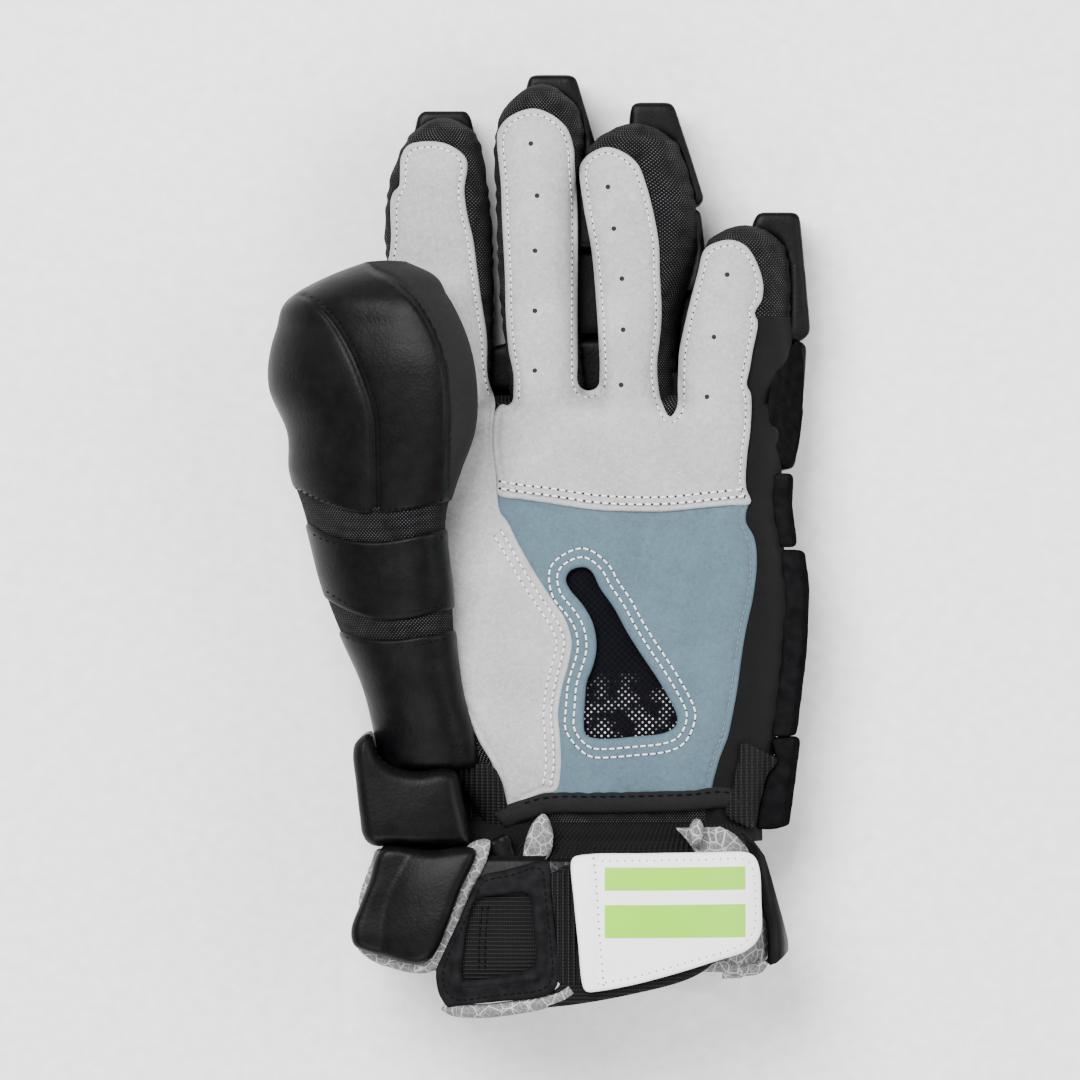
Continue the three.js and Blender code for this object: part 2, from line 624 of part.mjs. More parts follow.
const palmLeather = piece('palm_leather', handShell.intersect(paleRegion(0)), 'paleSuede');
piece('thenar_panel', handShell.intersect(thenarRegion(0)).subtract(paleRegion(SEAT))
  .subtract(hemRegion(SEAT)).subtract(thumbHollow).intersect(halfSpace(WRIST_END, FAR)), 'paleSuede');
piece('heel_panel', handShell.intersect(heelRegion(0)).subtract(paleRegion(SEAT))
  .subtract(thenarRegion(SEAT)).subtract(hemRegion(SEAT))
  .subtract(region(WINDOW, 0, FRONT_OF_PALM)), 'blueSuede');
piece('heel_mesh', handBody(-FABRIC - SEAT).subtract(handBody(-FABRIC - SEAT - FABRIC * 0.5))
  .intersect(region(WINDOW, 3 * FABRIC, FRONT_OF_PALM)), 'blackMesh');
piece('palm_binding', handBody(SEAT * 2).subtract(handInner).intersect(hemRegion(0)), 'darkSuede');

const frontRegions = (grow) => paleRegion(grow).add(thenarRegion(grow))
  .add(heelRegion(grow)).add(hemRegion(grow));
const sideRegion = (grow) => region(SIDE_PANEL, grow, BACK_Z + PALM_DEPTH * 0.12);
const fronts = frontRegions(SEAT);

piece('side_panel', handShell.intersect(sideRegion(0)).subtract(fronts), 'blackLeather');
const withoutFronts = handShell.subtract(fronts).subtract(sideRegion(SEAT));
piece('hand_back', withoutFronts.subtract(thumbHollow)
  .intersect(halfSpace(WRIST_END, FINGER_ROOT - SEAT)), 'blackMesh');
for (const name of Object.keys(FINGERS)) {
  piece(`${name}_gusset`, fingerBody(name, 0).intersect(withoutFronts)
    .intersect(halfSpace(FINGER_ROOT, FAR)), 'blackMesh');
}

// Padded segments behind the fingers and the hand

// Padded block over an outline, its lower edge rounded
function paddedBlock(points, low, high, bevel) {
  const levels = [[low, -bevel], [low + 0.3 * bevel, -0.3 * bevel], [low + bevel, 0], [high, 0]];
  return loft(levels.map(([z, inset]) => grown(points, inset).map(([x, y]) => [x, y, z])));
}

function fingerPad([yLow, yHigh, xLow, xHigh, wideLow, wideHigh, rise, reach]) {
  const across = (share, side) => {
    const taper = Math.min(Math.max((share - 0.2) / 0.74, 0), 1) ** 0.8;
    const wide = wideLow + (wideHigh - wideLow) * taper;
    const trim = share === 0 || share === 1 ? 0.86 : 1;
    const middle = X(xLow + share * (xHigh - xLow));
    return [middle + side * wide * trim * FINGER_WIDTH, Y(yLow + share * (yHigh - yLow))];
  };
  const shares = [0, 0.06, 0.5, 0.72, 0.94, 1];
  const right = shares.map((share) => across(share, 1));
  const left = shares.map((share) => across(share, -1)).reverse();
  const low = rise * PAD_DEPTH;
  return paddedBlock([...right, ...left], low, BACK_Z + FINGER_DEPTH * reach, PAD_DEPTH * 0.22);
}

for (const [name, row] of Object.entries(FINGER_PADS)) {
  piece(name, fingerPad(row).subtract(handSeat), 'blackLeather');
}
for (const [name, rows] of Object.entries(BACK_PADS)) {
  const block = paddedBlock(outline(rows), 0, BACK_Z + PALM_DEPTH * 0.12, PAD_DEPTH * 0.25);
  piece(name, block.subtract(handSeat), 'blackLeather');
}

// Little finger side

const handLayer = (thick) => handBody(SEAT + thick).subtract(handSeat);
const between = (low, high) => box([-FAR, -FAR, low], [FAR, FAR, high]);
const backPads = Object.keys(BACK_PADS).map((name) => {
  const points = grown(outline(BACK_PADS[name]), SEAT);
  return prism(points, -1, BACK_Z + PALM_DEPTH * 0.12 + SEAT);
}).reduce((all, part) => all.add(part));

piece('side_patch', handLayer(SIDE_PAD * 0.6).intersect(region(SIDE_PATCH, 0, 0, 24))
  .intersect(between(BACK_Z + FINGER_DEPTH * 0.12 + SEAT, FRONT_OF_PALM))
  .subtract(backPads), 'blackLeather');
piece('side_pad_small', handLayer(SIDE_PAD * 0.7).intersect(region(SIDE_SMALL, 0, 0))
  .intersect(between(PAD_DEPTH * 0.7, FRONT_OF_PALM)).subtract(backPads), 'blackLeather');
piece('side_pad_long', handLayer(SIDE_PAD).intersect(region(SIDE_LONG, 0, 0))
  .intersect(between(PAD_DEPTH * 0.5, FRONT_OF_PALM)).subtract(backPads), 'blackLeather');
const wristPad = piece('wrist_pad_little', handLayer(SIDE_PAD * 1.2).intersect(region(WRIST_PAD, 0, 0))
  .intersect(between(PAD_DEPTH * 0.5, FRONT_OF_PALM)).subtract(backPads), 'blackLeather');
piece('wrist_elastic_little', handLayer(ELASTIC).intersect(region(WRIST_ELASTIC, 0, PAD_DEPTH))
  .subtract(region(WRIST_PAD, SEAT, 0)).subtract(region(SIDE_LONG, SEAT, 0))
  .subtract(hemRegion(SEAT)).subtract(backPads), 'webbing');

// Thumb

// Line across the thumb turned into a prism that reaches far to one side of it
function sideOfLine(line, offset, towards) {
  const points = line.map(([x, y]) => [X(x), Y(y) + offset]);
  const last = points[points.length - 1];
  return prism([...points, [last[0], towards], [points[0][0], towards]], -FAR, FAR);
}
const upFrom = (name, offset = 0) => sideOfLine(BAND_LINES[name], offset, FAR);
const downFrom = (name, offset = 0) => sideOfLine(BAND_LINES[name], offset, -FAR);

const thumbOuter = thumbBody(0);
const thumbStall = thumbBody(-THUMB_PAD - SEAT);
const stallSeat = thumbBody(-THUMB_PAD);
const THUMB_ROOT = Y(-0.245);
piece('thumb_stall', thumbStall.subtract(thumbHollow).subtract(handSeat)
  .intersect(halfSpace(THUMB_ROOT, FAR)), 'blackKnit');
const thumbLayer = thumbOuter.subtract(stallSeat).subtract(handSeat);
const grooveLayer = thumbBody(-BAND_GROOVE).subtract(stallSeat).subtract(handSeat);

function leftOf(line, offset) {
  const points = line.map(([x, y]) => [X(x) + offset, Y(y)]);
  const corners = [[-FAR, points[points.length - 1][1]], [-FAR, FAR], [points[0][0], FAR]];
  return prism([...points, ...corners], -FAR, FAR);
}
const cap = thumbLayer.intersect(upFrom('capLow', SEAT / 2));
const outerSide = leftOf(CAP_SEAM, -SEAT / 2);
const innerSide = leftOf(CAP_RIM, -SEAT / 2);
piece('thumb_pad_outer', cap.intersect(outerSide), 'blackLeather');
piece('thumb_pad_inner', cap.subtract(leftOf(CAP_SEAM, SEAT / 2)).intersect(innerSide), 'blackLeather');
piece('thumb_edge', thumbBody(-BAND_GROOVE * 0.5).intersect(cap)
  .subtract(leftOf(CAP_RIM, SEAT / 2)), 'darkSuede');
piece('thumb_band_upper', grooveLayer.intersect(downFrom('capLow', -SEAT / 2))
  .intersect(upFrom('midHigh', SEAT / 2)), 'blackMesh');
piece('thumb_mid_pad', thumbLayer.intersect(downFrom('midHigh', -SEAT / 2))
  .intersect(upFrom('midLow', SEAT / 2)), 'blackLeather');
piece('thumb_band_lower', grooveLayer.intersect(downFrom('midLow', -SEAT / 2))
  .intersect(upFrom('lowHigh', SEAT / 2)), 'blackMesh');
piece('thumb_low_pad', thumbLayer.intersect(downFrom('lowHigh', -SEAT / 2))
  .intersect(halfSpace(Y(-0.240), FAR)), 'blackLeather');

// Wristband between the hand and the cuff

function bandRings(grow) {
  const [, left, right, halfDepth] = PALM_ROWS[1];
  const { thumbSide, littleSide } = PALM_LEAN;
  const handRing = (y) => ring({
    y,
    x: (X(left) + X(right)) / 2,
    z: BACK_Z + halfDepth * PALM_DEPTH,
    halfWidth: (X(right) - X(left)) / 2 - FABRIC - 2 * SEAT + grow,
    halfDepth: (halfDepth - 0.01) * PALM_DEPTH - FABRIC - 2 * SEAT + grow,
    power: 3,
    sides: 20,
    lean: (u) => thumbSide + ((littleSide - thumbSide) * (u + 1)) / 2,
    front: PALM_FRONT,
  });
  const end = cuffRings(-CUFF_WALL - LINING - 2 * SEAT + grow)[2];
  const start = [handRing(Y(-0.288)), handRing(Y(-0.306))];
  const along = (p, q, share) => [0, 1, 2].map((axis) => p[axis] + share * (q[axis] - p[axis]));
  const part = (share) => start[1].map((p, k) => along(p, end[k], share));
  return [...start, part(0.45), part(0.98)];
}
piece('wristband', loft(bandRings(0)).subtract(
  loft(bandRings(-1.6).map((r, i) => r.map(([x, y, z]) => [x, y + ([5, 0, 0, -5][i] ?? 0), z])))),
  'blackKnit');

// Padded block round the root of the thumb, open where the thumb goes in
const wrapLevels = [
  [PAD_DEPTH * 0.7, -4], [PAD_DEPTH * 0.75, -1.5], [PAD_DEPTH * 0.95, 0],
  [WRAP_HEIGHT - 4, 0], [WRAP_HEIGHT - 1.2, -1.2], [WRAP_HEIGHT, -4],
];
const wrapBlock = loft(wrapLevels.map(([z, inset]) => grown(outline(WRAP), inset)
  .map(([x, y]) => [x, y, z])));
const wrapPad = piece('wrist_pad_thumb', wrapBlock.subtract(handSeat)
  .subtract(thumbBody(SEAT).intersect(halfSpace(Y(-0.246), FAR))).subtract(backPads)
  .subtract(loft(bandRings(SEAT))), 'blackLeather');
piece('wrist_elastic_thumb', handLayer(ELASTIC * 1.2).intersect(region(WRAP_ELASTIC, 0, FRONT_OF_PALM))
  .subtract(region(WRAP, SEAT, 0)).subtract(thumbBody(SEAT)).subtract(hemRegion(SEAT))
  .subtract(loft(bandRings(SEAT))), 'webbing');

// Cuff

const cuffShell = cuffBody(0).subtract(cuffBody(-CUFF_WALL));
const cuffLining = cuffBody(-CUFF_WALL - SEAT).subtract(cuffBody(-CUFF_WALL - SEAT - LINING));
const cuffTube = (rows, grow) => prism(grown(outline(rows), grow), -FAR, FAR);
const frontPart = (rows, grow) => region(rows, grow, MIDDLE_OF_CUFF);
piece('cuff_back', cuffShell.intersect(cuffTube(CUFF_BACK, 0)).subtract(frontPart(CUFF_OPENING, 0))
  .subtract(frontPart(CUFF_FRONT, SEAT)), 'blackLeather');
piece('cuff_front', cuffShell.intersect(frontPart(CUFF_FRONT, 0)), 'blackLeather');
piece('cuff_lining', cuffLining.intersect(
  cuffTube(CUFF_BACK, 0).add(frontPart(CUFF_FRONT, LINING)))
  .subtract(frontPart(CUFF_OPENING, -3 * LINING).subtract(frontPart(CUFF_FRONT, LINING))), 'lining');

const overCuff = (low, high) => cuffBody(high).subtract(cuffBody(low));
const patch = (grow) => overCuff(SEAT - grow, SEAT + PATCH_THICK + grow).intersect(frontPart(PATCH, grow));
const flap = (grow) => overCuff(SEAT - grow, SEAT + FLAP_THICK + grow).intersect(frontPart(FLAP, grow));
piece('buckle_patch', patch(0).subtract(frontPart(PATCH_WINDOW, 0)), 'moulded');
piece('strap_webbing', overCuff(SEAT, SEAT + WEBBING).intersect(frontPart(PATCH_WINDOW, -SEAT)), 'webbing');
const patchBlock = overCuff(0, SEAT * 2 + PATCH_THICK).intersect(frontPart(PATCH, SEAT));
piece('cuff_flap', flap(0).subtract(patchBlock).subtract(solids.wrist_pad_thumb), 'blackLeather');
piece('cuff_flap_binding', overCuff(SEAT, SEAT + FLAP_THICK * 0.6).intersect(frontPart(FLAP_PIPING, 0))
  .subtract(patchBlock).subtract(flap(SEAT)), 'lining');
piece('strap_elastic', overCuff(SEAT, SEAT + ELASTIC).intersect(frontPart(STRAP_ELASTIC, 0))
  .subtract(frontPart(PATCH, SEAT)), 'webbing');
piece('strap_base', overCuff(SEAT, SEAT + WEBBING).intersect(frontPart(STRAP_BASE, 0))
  .subtract(frontPart(STRAP_ELASTIC, SEAT)).subtract(frontPart(PATCH, SEAT)), 'webbing');
piece('strap_anchor', overCuff(-CUFF_WALL, 0).intersect(frontPart(STRAP_ANCHOR, 0))
  .subtract(solids.cuff_back).subtract(solids.cuff_lining), 'webbing');
piece('pull_tab', overCuff(SEAT * 2 + ELASTIC, SEAT * 2 + ELASTIC + TAB_THICK)
  .intersect(frontPart(PULL_TAB, 0)), 'white');

// The group, set on the ground plane with its middle over the origin

const group = new THREE.Group();
group.name = 'lacrosse_glove';
for (const { name, look } of pieces) {
  const found = solids[name].getMesh();
  const geometry = new THREE.BufferGeometry();
  geometry.setAttribute('position', new THREE.Float32BufferAttribute(found.vertProperties, 3));
  geometry.setIndex(Array.from(found.triVerts));
  const mesh = new THREE.Mesh(geometry, new THREE.MeshStandardMaterial(LOOKS[look]));
  mesh.name = name;
  group.add(mesh);
}
const bounds = new THREE.Box3().setFromObject(group);
const middle = bounds.getCenter(new THREE.Vector3());
for (const mesh of group.children) {
  mesh.geometry.translate(-middle.x, -middle.y, -bounds.min.z);
}

export default group;
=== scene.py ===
"""Looks of a left-hand lacrosse glove that lies on its back pads with the palm up.

Lengths in the tables and geometry functions are millimetres in the frame of the part: +Y to
the fingertips, +X to the little finger, +Z up out of the palm. Objects are made in metres.
"""

import bmesh
import bpy
import numpy as np
from bpy.props import FloatProperty, FloatVectorProperty, PointerProperty
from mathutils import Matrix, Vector
from mathutils.geometry import delaunay_2d_cdt


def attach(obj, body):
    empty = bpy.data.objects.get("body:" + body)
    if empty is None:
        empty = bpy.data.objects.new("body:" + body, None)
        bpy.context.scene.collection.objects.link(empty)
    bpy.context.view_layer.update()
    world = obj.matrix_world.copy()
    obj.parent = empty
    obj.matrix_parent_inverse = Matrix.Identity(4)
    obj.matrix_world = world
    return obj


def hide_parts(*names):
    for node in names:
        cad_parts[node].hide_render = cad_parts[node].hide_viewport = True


bl_info = {
    "name": "Lacrosse glove",
    "version": (1, 0, 0),
    "blender": (4, 5, 0),
    "location": "3D View > Sidebar > Glove",
    "description": "Builds the soft shapes, seams and finishes of a padded lacrosse glove",
    "category": "Object",
}

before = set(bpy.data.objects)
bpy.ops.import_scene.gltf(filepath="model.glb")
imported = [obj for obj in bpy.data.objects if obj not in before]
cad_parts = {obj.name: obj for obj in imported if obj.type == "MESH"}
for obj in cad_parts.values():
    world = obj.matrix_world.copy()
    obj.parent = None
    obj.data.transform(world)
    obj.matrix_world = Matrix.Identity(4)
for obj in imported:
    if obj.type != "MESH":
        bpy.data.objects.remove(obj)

MM = 0.001
FINGER_FRONT = 45.35
PALM_FRONT = 54.35
FINGER_POWER = 2.4
PALM_POWER = 3.0
THUMB_POWER = 2.4
CUFF_POWER = 2.6

# Depth of a tube as a share of its width, for spacing points round it
PALM_FLATNESS = 0.32
THUMB_FLATNESS = 0.7

# How far the mesh lies under the leathers, and the y where the hand ends under its bindings
LEATHER_SINK = 2.6
BINDING_END = -91.1
ELASTIC_END = -103.8

# Wristband from hand to cuff, and the cuff's wall from its outside in
WRISTBAND_TOP = -93.2
WRISTBAND_FOOT = -112.3
CUFF_WALL = -5.3

# Upper end of the thumb and x of the pull tab's fold
THUMB_TIP = 97.87
TAB_FOLD = 19.1

# Distance from a rim at which its rounding has ended, for heights of stitches
INLAND = 3.0

# Fingers. Columns: y, x, half width, height of the middle, half depth
FINGERS = {
    "index": ((
        (32.2, -35.28, 17.36, 32.93, 14.58),
        (52.99, -36.05, 17.36, 32.93, 14.58),
        (85, -36.24, 18.34, 32.39, 14.04),
        (115.69, -37.58, 18.76, 32.39, 13.77),
        (132.52, -37.01, 16.1, 32.93, 13.23),
        (140.11, -35.86, 13.58, 33.74, 12.15),
        (145.06, -35.28, 10.36, 34.55, 9.99),
        (148.03, -35.09, 6.02, 35.09, 5.4),
    ), 0.12),
    "middle": ((
        (32.2, 1.68, 13.44, 32.93, 14.58),
        (52.99, 0.34, 13.02, 32.93, 14.58),
        (85, -2.92, 13.44, 32.39, 14.04),
        (121.96, -3.88, 14, 32.39, 13.5),
        (141.1, -2.54, 15.68, 33.2, 12.42),
        (149.02, -1.96, 14.56, 33.74, 11.61),
        (155.29, -1.58, 11.2, 34.55, 9.45),
        (159.91, -1.2, 5.6, 35.09, 5.4),
    ), 0.19),
    "ring": ((
        (32.2, 31.55, 11.76, 32.93, 14.58),
        (52.99, 30.21, 10.92, 32.93, 14.58),
        (77.74, 29.06, 12.32, 32.39, 14.31),
        (102.49, 31.17, 16.8, 32.39, 13.5),
        (121.3, 28.87, 19.04, 32.66, 12.96),
        (134.5, 27.91, 16.52, 33.47, 11.88),
        (141.76, 28.49, 12.88, 34.28, 9.72),
        (146.05, 28.87, 6.72, 35.09, 5.4),
    ), 0.46),
    "little": ((
        (32.2, 61.23, 13.72, 32.93, 14.58),
        (46.06, 61.42, 14, 32.93, 14.58),
        (62.56, 62.76, 17.08, 32.66, 14.31),
        (85, 64.68, 16.52, 32.39, 13.77),
        (95.56, 66.02, 14.84, 32.39, 13.23),
        (101.5, 66.4, 13.58, 32.93, 12.42),
        (106.45, 66.98, 11.2, 34.01, 10.26),
        (110.08, 67.36, 6.58, 34.82, 5.67),
    ), 0.48),
}

# Palm. Columns: y, x, half width, height of the middle, half depth
PALM = (
    (-114.32, 22.74, 44.62, 34.19, 15.84),
    (-99.14, 22.74, 45.39, 34.91, 16.56),
    (-71.09, 14.89, 57.83, 36.35, 18),
    (-39.74, 13.55, 63.39, 36.71, 18.36),
    (-16.64, 14.51, 63.39, 36.53, 18.18),
    (13.06, 11.82, 62.05, 35.63, 17.28),
    (41.11, 11.06, 63.96, 33.65, 15.3),
    (48.37, 11.06, 62.43, 31.67, 13.32),
    (51.67, 11.25, 59.17, 26.99, 8.64),
)
PALM_LEAN = (0.12, 0.45)

# Thumb. Columns: y, x, half width, height of the middle, half depth, tilt
THUMB = (
    (-82.31, -38.06, 17.91, 43.4, 17, 0.1),
    (-68.28, -40.55, 17.91, 45.88, 18, 0.15),
    (-52.28, -44.57, 17.71, 48.98, 19, 0.2),
    (-31.82, -50.22, 20.87, 52.08, 20.5, 0.25),
    (-20.6, -52.71, 22.79, 53.94, 21, 0.28),
    (11.41, -57.79, 26.33, 59.52, 22, 0.36),
    (24.94, -57.79, 30.54, 60.76, 23, 0.38),
    (37.15, -55.77, 32.94, 62, 24, 0.38),
    (54.31, -58.65, 36.77, 62, 25, 0.38),
    (74.44, -59.6, 33.13, 62, 24, 0.38),
    (85.99, -59.8, 27.38, 62, 21, 0.36),
    (93.91, -55.1, 16.76, 62, 14.5, 0.33),
    (97.87, -53.96, 6.99, 62, 7, 0.3),
)

# Cuff. Columns: y, x, half width, height of the middle, half depth
CUFF = (
    (-165.8, 11.54, 74.21, 36.24, 35.64),
    (-142.7, 11.44, 76.22, 36.6, 36),
    (-126.53, 11.35, 74.78, 36.24, 35.64),
    (-112.34, 12.97, 72.2, 35.16, 34.56),
    (-99.47, 14.41, 69.8, 33.36, 32.76),
    (-87.59, 7.99, 60.9, 32.28, 31.68),
)

# Outlines seen from above. Columns: x, y
PALM_OUTLINE = (
    (-9.4, 51.8), (-9.6, 49.7), (-11.3, 47.7), (-13.4, 48.3), (-15.9, 45.4), (-16.9, 35.6),
    (-16.2, 27.8), (-15.2, 22.2), (-14.8, 16.2), (-6.4, 14.6), (2.4, 13.4), (12.3, 11.8),
    (22.1, 10.7), (33, 10.4), (44, 10.4), (57.3, 11.7), (66.1, 12.5), (74.2, 13.4), (72.5, 19),
    (72.8, 29.3), (74.2, 40.9), (74.2, 52.1), (72.8, 54.9), (73.9, 60.9), (74.9, 66.9),
    (76.7, 77.1), (75.6, 80.3), (78.1, 84.9), (78.6, 90.5), (76.3, 98.2), (72.5, 103.9),
    (67.5, 106), (62.3, 105.3), (58, 102.8), (55.6, 94.4), (53.5, 86.6), (51.5, 78.5),
    (50.3, 72.9), (49.2, 66.9), (48.7, 56.7), (48.2, 47.2), (45.7, 43.7), (42.9, 49),
    (41.7, 54.9), (41.3, 63), (42.2, 70.8), (42.9, 80.3), (42.2, 94.4), (41.8, 105.3),
    (39.4, 118), (37.3, 125.7), (34.4, 132.7), (29.2, 137), (22.8, 138.7), (15.8, 135.2),
    (14, 132), (15.4, 118), (18.3, 102.1), (19.7, 86.6), (20.7, 70.8), (21.1, 60.2),
    (20.4, 54.6), (17.2, 53.2), (13.7, 54.9), (13.3, 63.7), (13.3, 88.4), (13.3, 118),
    (12.3, 132), (11.9, 138.4), (9.5, 145.4), (3.8, 150.3), (-2.7, 152.3), (-11, 149.3),
    (-14.8, 144.7), (-15.2, 141.5), (-13.8, 125.7), (-13.4, 114.1), (-12.4, 94.4), (-12, 78.5),
    (-11, 66.9), (-9.4, 58.8),
)
THENAR_OUTLINE = (
    (-59.5, 94.7), (-54.3, 97.5), (-53.2, 100.4), (-52.5, 106.7), (-52.5, 120.8),
    (-51.1, 123.6), (-49.7, 124.8), (-49.3, 130.3), (-49, 135.2), (-46.5, 139.4),
    (-40.9, 140.7), (-33.8, 140.1), (-28.9, 137.7), (-25.9, 134.5), (-25.6, 131),
    (-26.6, 124.1), (-25.6, 115.1), (-23.6, 106.7), (-22.2, 96.1), (-20.8, 85.9),
    (-18.7, 71.8), (-18.4, 57.9), (-15.9, 49.7), (-16.2, 39.1), (-15.9, 30.3), (-15.2, 23.3),
    (-14.8, 15.5), (-13.8, 10.2), (-11, 6.4), (-7.1, -1.4), (-0.8, -12.3), (5.6, -21.8),
    (9.5, -28.1), (11.4, -35.2), (10.2, -43.1), (7.9, -51.7), (6.6, -61.2), (7.2, -67.2),
    (7.5, -80.2), (5.9, -87.6), (0.1, -89), (-11.7, -93.9), (-14.1, -87.6), (-16.9, -78.1),
    (-21.2, -70.7), (-26.4, -60.5), (-31, -55.9), (-35.2, -32.7), (-38.8, 7.4), (-49.3, 14.5),
    (-56.4, 49.7),
)
HEEL_OUTLINE = (
    (-16.9, 18), (-6.4, 16.2), (2.4, 14.8), (22.1, 12.4), (44, 12), (57.3, 13.2), (74.2, 14.8),
    (72.8, 10.9), (72.6, 6.7), (75.3, 1.8), (76.3, -3.5), (76.3, -10.5), (74.9, -20.7),
    (73, -28.8), (71.4, -38), (69.3, -53.1), (67.5, -62.6), (66, -69.3), (63.3, -76.3),
    (60.8, -85.5), (60.1, -89.4), (36.6, -90.8), (7, -91.5), (1.7, -89.4), (2.4, -77.1),
    (2.1, -61.2), (3.5, -51.7), (5.9, -41.9), (6.3, -35.2), (4.9, -29.5), (1.4, -23.2),
    (-5, -13.7), (-11, -3.5), (-15.2, 3.9), (-17.6, 9.2),
)
WINDOW = (
    (13.3, -9.3), (10.5, -10.5), (9.1, -13.3), (10.2, -16.5), (15.1, -22.5), (18.3, -28.1),
    (19.7, -33.8), (19.7, -39), (18.3, -44.7), (16.5, -49.2), (15.8, -56.3), (15.4, -63.3),
    (16.1, -67.9), (20.4, -69.3), (33, -68.6), (44, -67.2), (47.8, -64.7), (48.2, -61.9),
    (47.1, -58.7), (41.8, -49.2), (36.2, -40.8), (30.6, -32), (26, -23.5), (21.1, -16.5),
    (18.3, -10.9), (16.1, -9.3),
)
HEM_LINE = (
    (-13.4, -98.2), (-11.7, -96.8), (-5.7, -94.3), (-0, -92.5), (7, -91.7), (21.1, -91.7),
    (36.6, -91.5), (52.8, -91), (64.7, -90.1), (69.6, -91.8),
)
FRONT_EDGE = (
    (75.3, 106), (78.1, 90.5), (75.3, 79.2), (76.3, 77.1), (74.6, 66.9), (72.5, 54.9),
    (73.9, 49.7), (73.9, 40.9), (72.5, 29.3), (72, 19), (73.2, 12.7), (72.1, 9.2), (72.5, 6),
    (74.9, 1.8), (76, -3.5), (76, -10.5), (74.6, -20.7), (72.6, -28.8), (71.1, -38),
    (68.9, -53.1), (67.2, -62.6), (65.6, -69.3), (63, -76.3), (60.5, -85.5), (59.8, -112.3),
)
PALM_FOLD = (
    (-19.8, 67.6), (-19.2, 49.7), (-18.9, 39.1), (-17.6, 30.3), (-15.9, 21.5), (-14.5, 12.7),
    (-11, 6.4),
)
FINGER_STITCHES = {
    "index": (
        (-51.8, 98.2), (-50.4, 106), (-50.2, 118.7), (-48.6, 122.9), (-47.4, 124.6),
        (-47.2, 129.9), (-46.9, 134.1), (-45.1, 137.5), (-40.5, 138.5), (-34.5, 138.2),
        (-30, 135.9), (-27.9, 133.1), (-27.7, 129.9), (-28.7, 124.1), (-27.7, 115.1),
        (-25.7, 106.7), (-24.3, 96.1), (-22.9, 85.9), (-20.8, 71.8), (-19.8, 59.5), (-18, 51.1),
    ),
    "middle": (
        (-7.4, 50.4), (-7.4, 58.8), (-8.8, 66.9), (-9.9, 78.5), (-10.3, 94.4), (-11.3, 114.1),
        (-11.7, 125.7), (-12.9, 140.8), (-12.4, 144), (-9.6, 147.5), (-2.5, 150.2), (2.8, 148.6),
        (7.7, 144), (9.8, 137.7), (10.2, 132), (11.2, 118), (11.2, 88.4), (11.2, 63.7),
        (11.9, 53.9), (14.7, 50.9), (19.3, 51.1), (22.5, 53.9), (23.2, 60.2), (22.8, 70.8),
        (21.8, 86.6), (20.4, 102.1), (17.6, 118), (16.3, 131.3), (17.6, 133.8), (23.2, 136.6),
        (28.1, 135), (32.7, 131.3), (35.2, 125), (37.3, 118), (39.7, 105.3), (40.1, 94.4),
        (40.8, 80.3), (40.1, 70.8), (39.2, 63), (39.7, 53.9), (41.5, 46.9), (45, 41.2),
        (47.8, 42.3), (50.3, 46.1), (50.8, 56.7), (51.3, 66.6), (53.5, 78.2), (55.6, 86.3),
        (57.7, 94), (59.6, 101.4), (63.3, 103.3), (67.5, 103.9), (71.4, 102.1), (74.6, 97.5),
        (76.5, 90.5), (76, 85.6), (73.5, 80.6), (74.6, 77.1), (72.8, 66.9), (70.7, 54.9),
        (72.1, 51.1), (72.1, 40.9), (70.7, 29.3), (70.4, 19.4), (71.8, 15.2),
    ),
}
UPPER_STITCHES = [
    (
        (-14.1, 18.5), (-6.4, 17.3), (2.4, 16.2), (22.1, 13.4), (44, 13.1), (57.3, 14.3),
        (72.1, 15.9),
    ),
    (
        (-14.1, 21), (-6.4, 19.7), (2.4, 18.7), (22.1, 15.9), (44, 15.5), (57.3, 16.8),
        (71.1, 18.3),
    ),
]
THENAR_STITCHES = [
    (
        (-13.8, 3.9), (-9.9, -2.8), (-3.6, -13.7), (2.8, -23.2), (6.6, -29.2), (8.6, -35.2),
        (7.3, -42.2), (5.1, -51), (3.8, -60.9), (4.4, -67.9), (4.7, -79.9), (3.5, -86.2),
    ),
    (
        (-15.9, 1.8), (-12.4, -4.2), (-6, -15.1), (0.3, -24.6), (4.2, -30.6), (5.9, -35.5),
        (4.7, -41.5), (2.4, -50.3), (1.2, -60.9), (1.7, -67.9), (2.1, -79.2), (1, -85.5),
    ),
]
HEEL_EDGE_STITCHES = (
    (71.9, 11.7), (70.4, 9.9), (70.4, 6.4), (73, 1.4), (74, -3.8), (74, -10.5), (72.6, -20.7),
    (70.7, -28.8), (69.1, -38), (67, -53.1), (65.2, -62.3), (63.7, -68.6), (61, -76),
    (58.7, -83.7),
)
PERFORATIONS = (
    (-3.2, 139.8), (-1.1, 121.5), (-1.8, 102.1), (-1.8, 81), (-1.8, 59.9), (23.9, 124.6),
    (26, 109.9), (28.8, 92.3), (29.2, 74.3), (28.5, 54.9), (65.8, 93.7), (61.2, 71.8),
    (58.7, 50.7),
)
SIDE_STITCHES = (
    (83, 49.7), (81.8, 40.9), (83.6, 33.5), (86.9, 28.5),
)

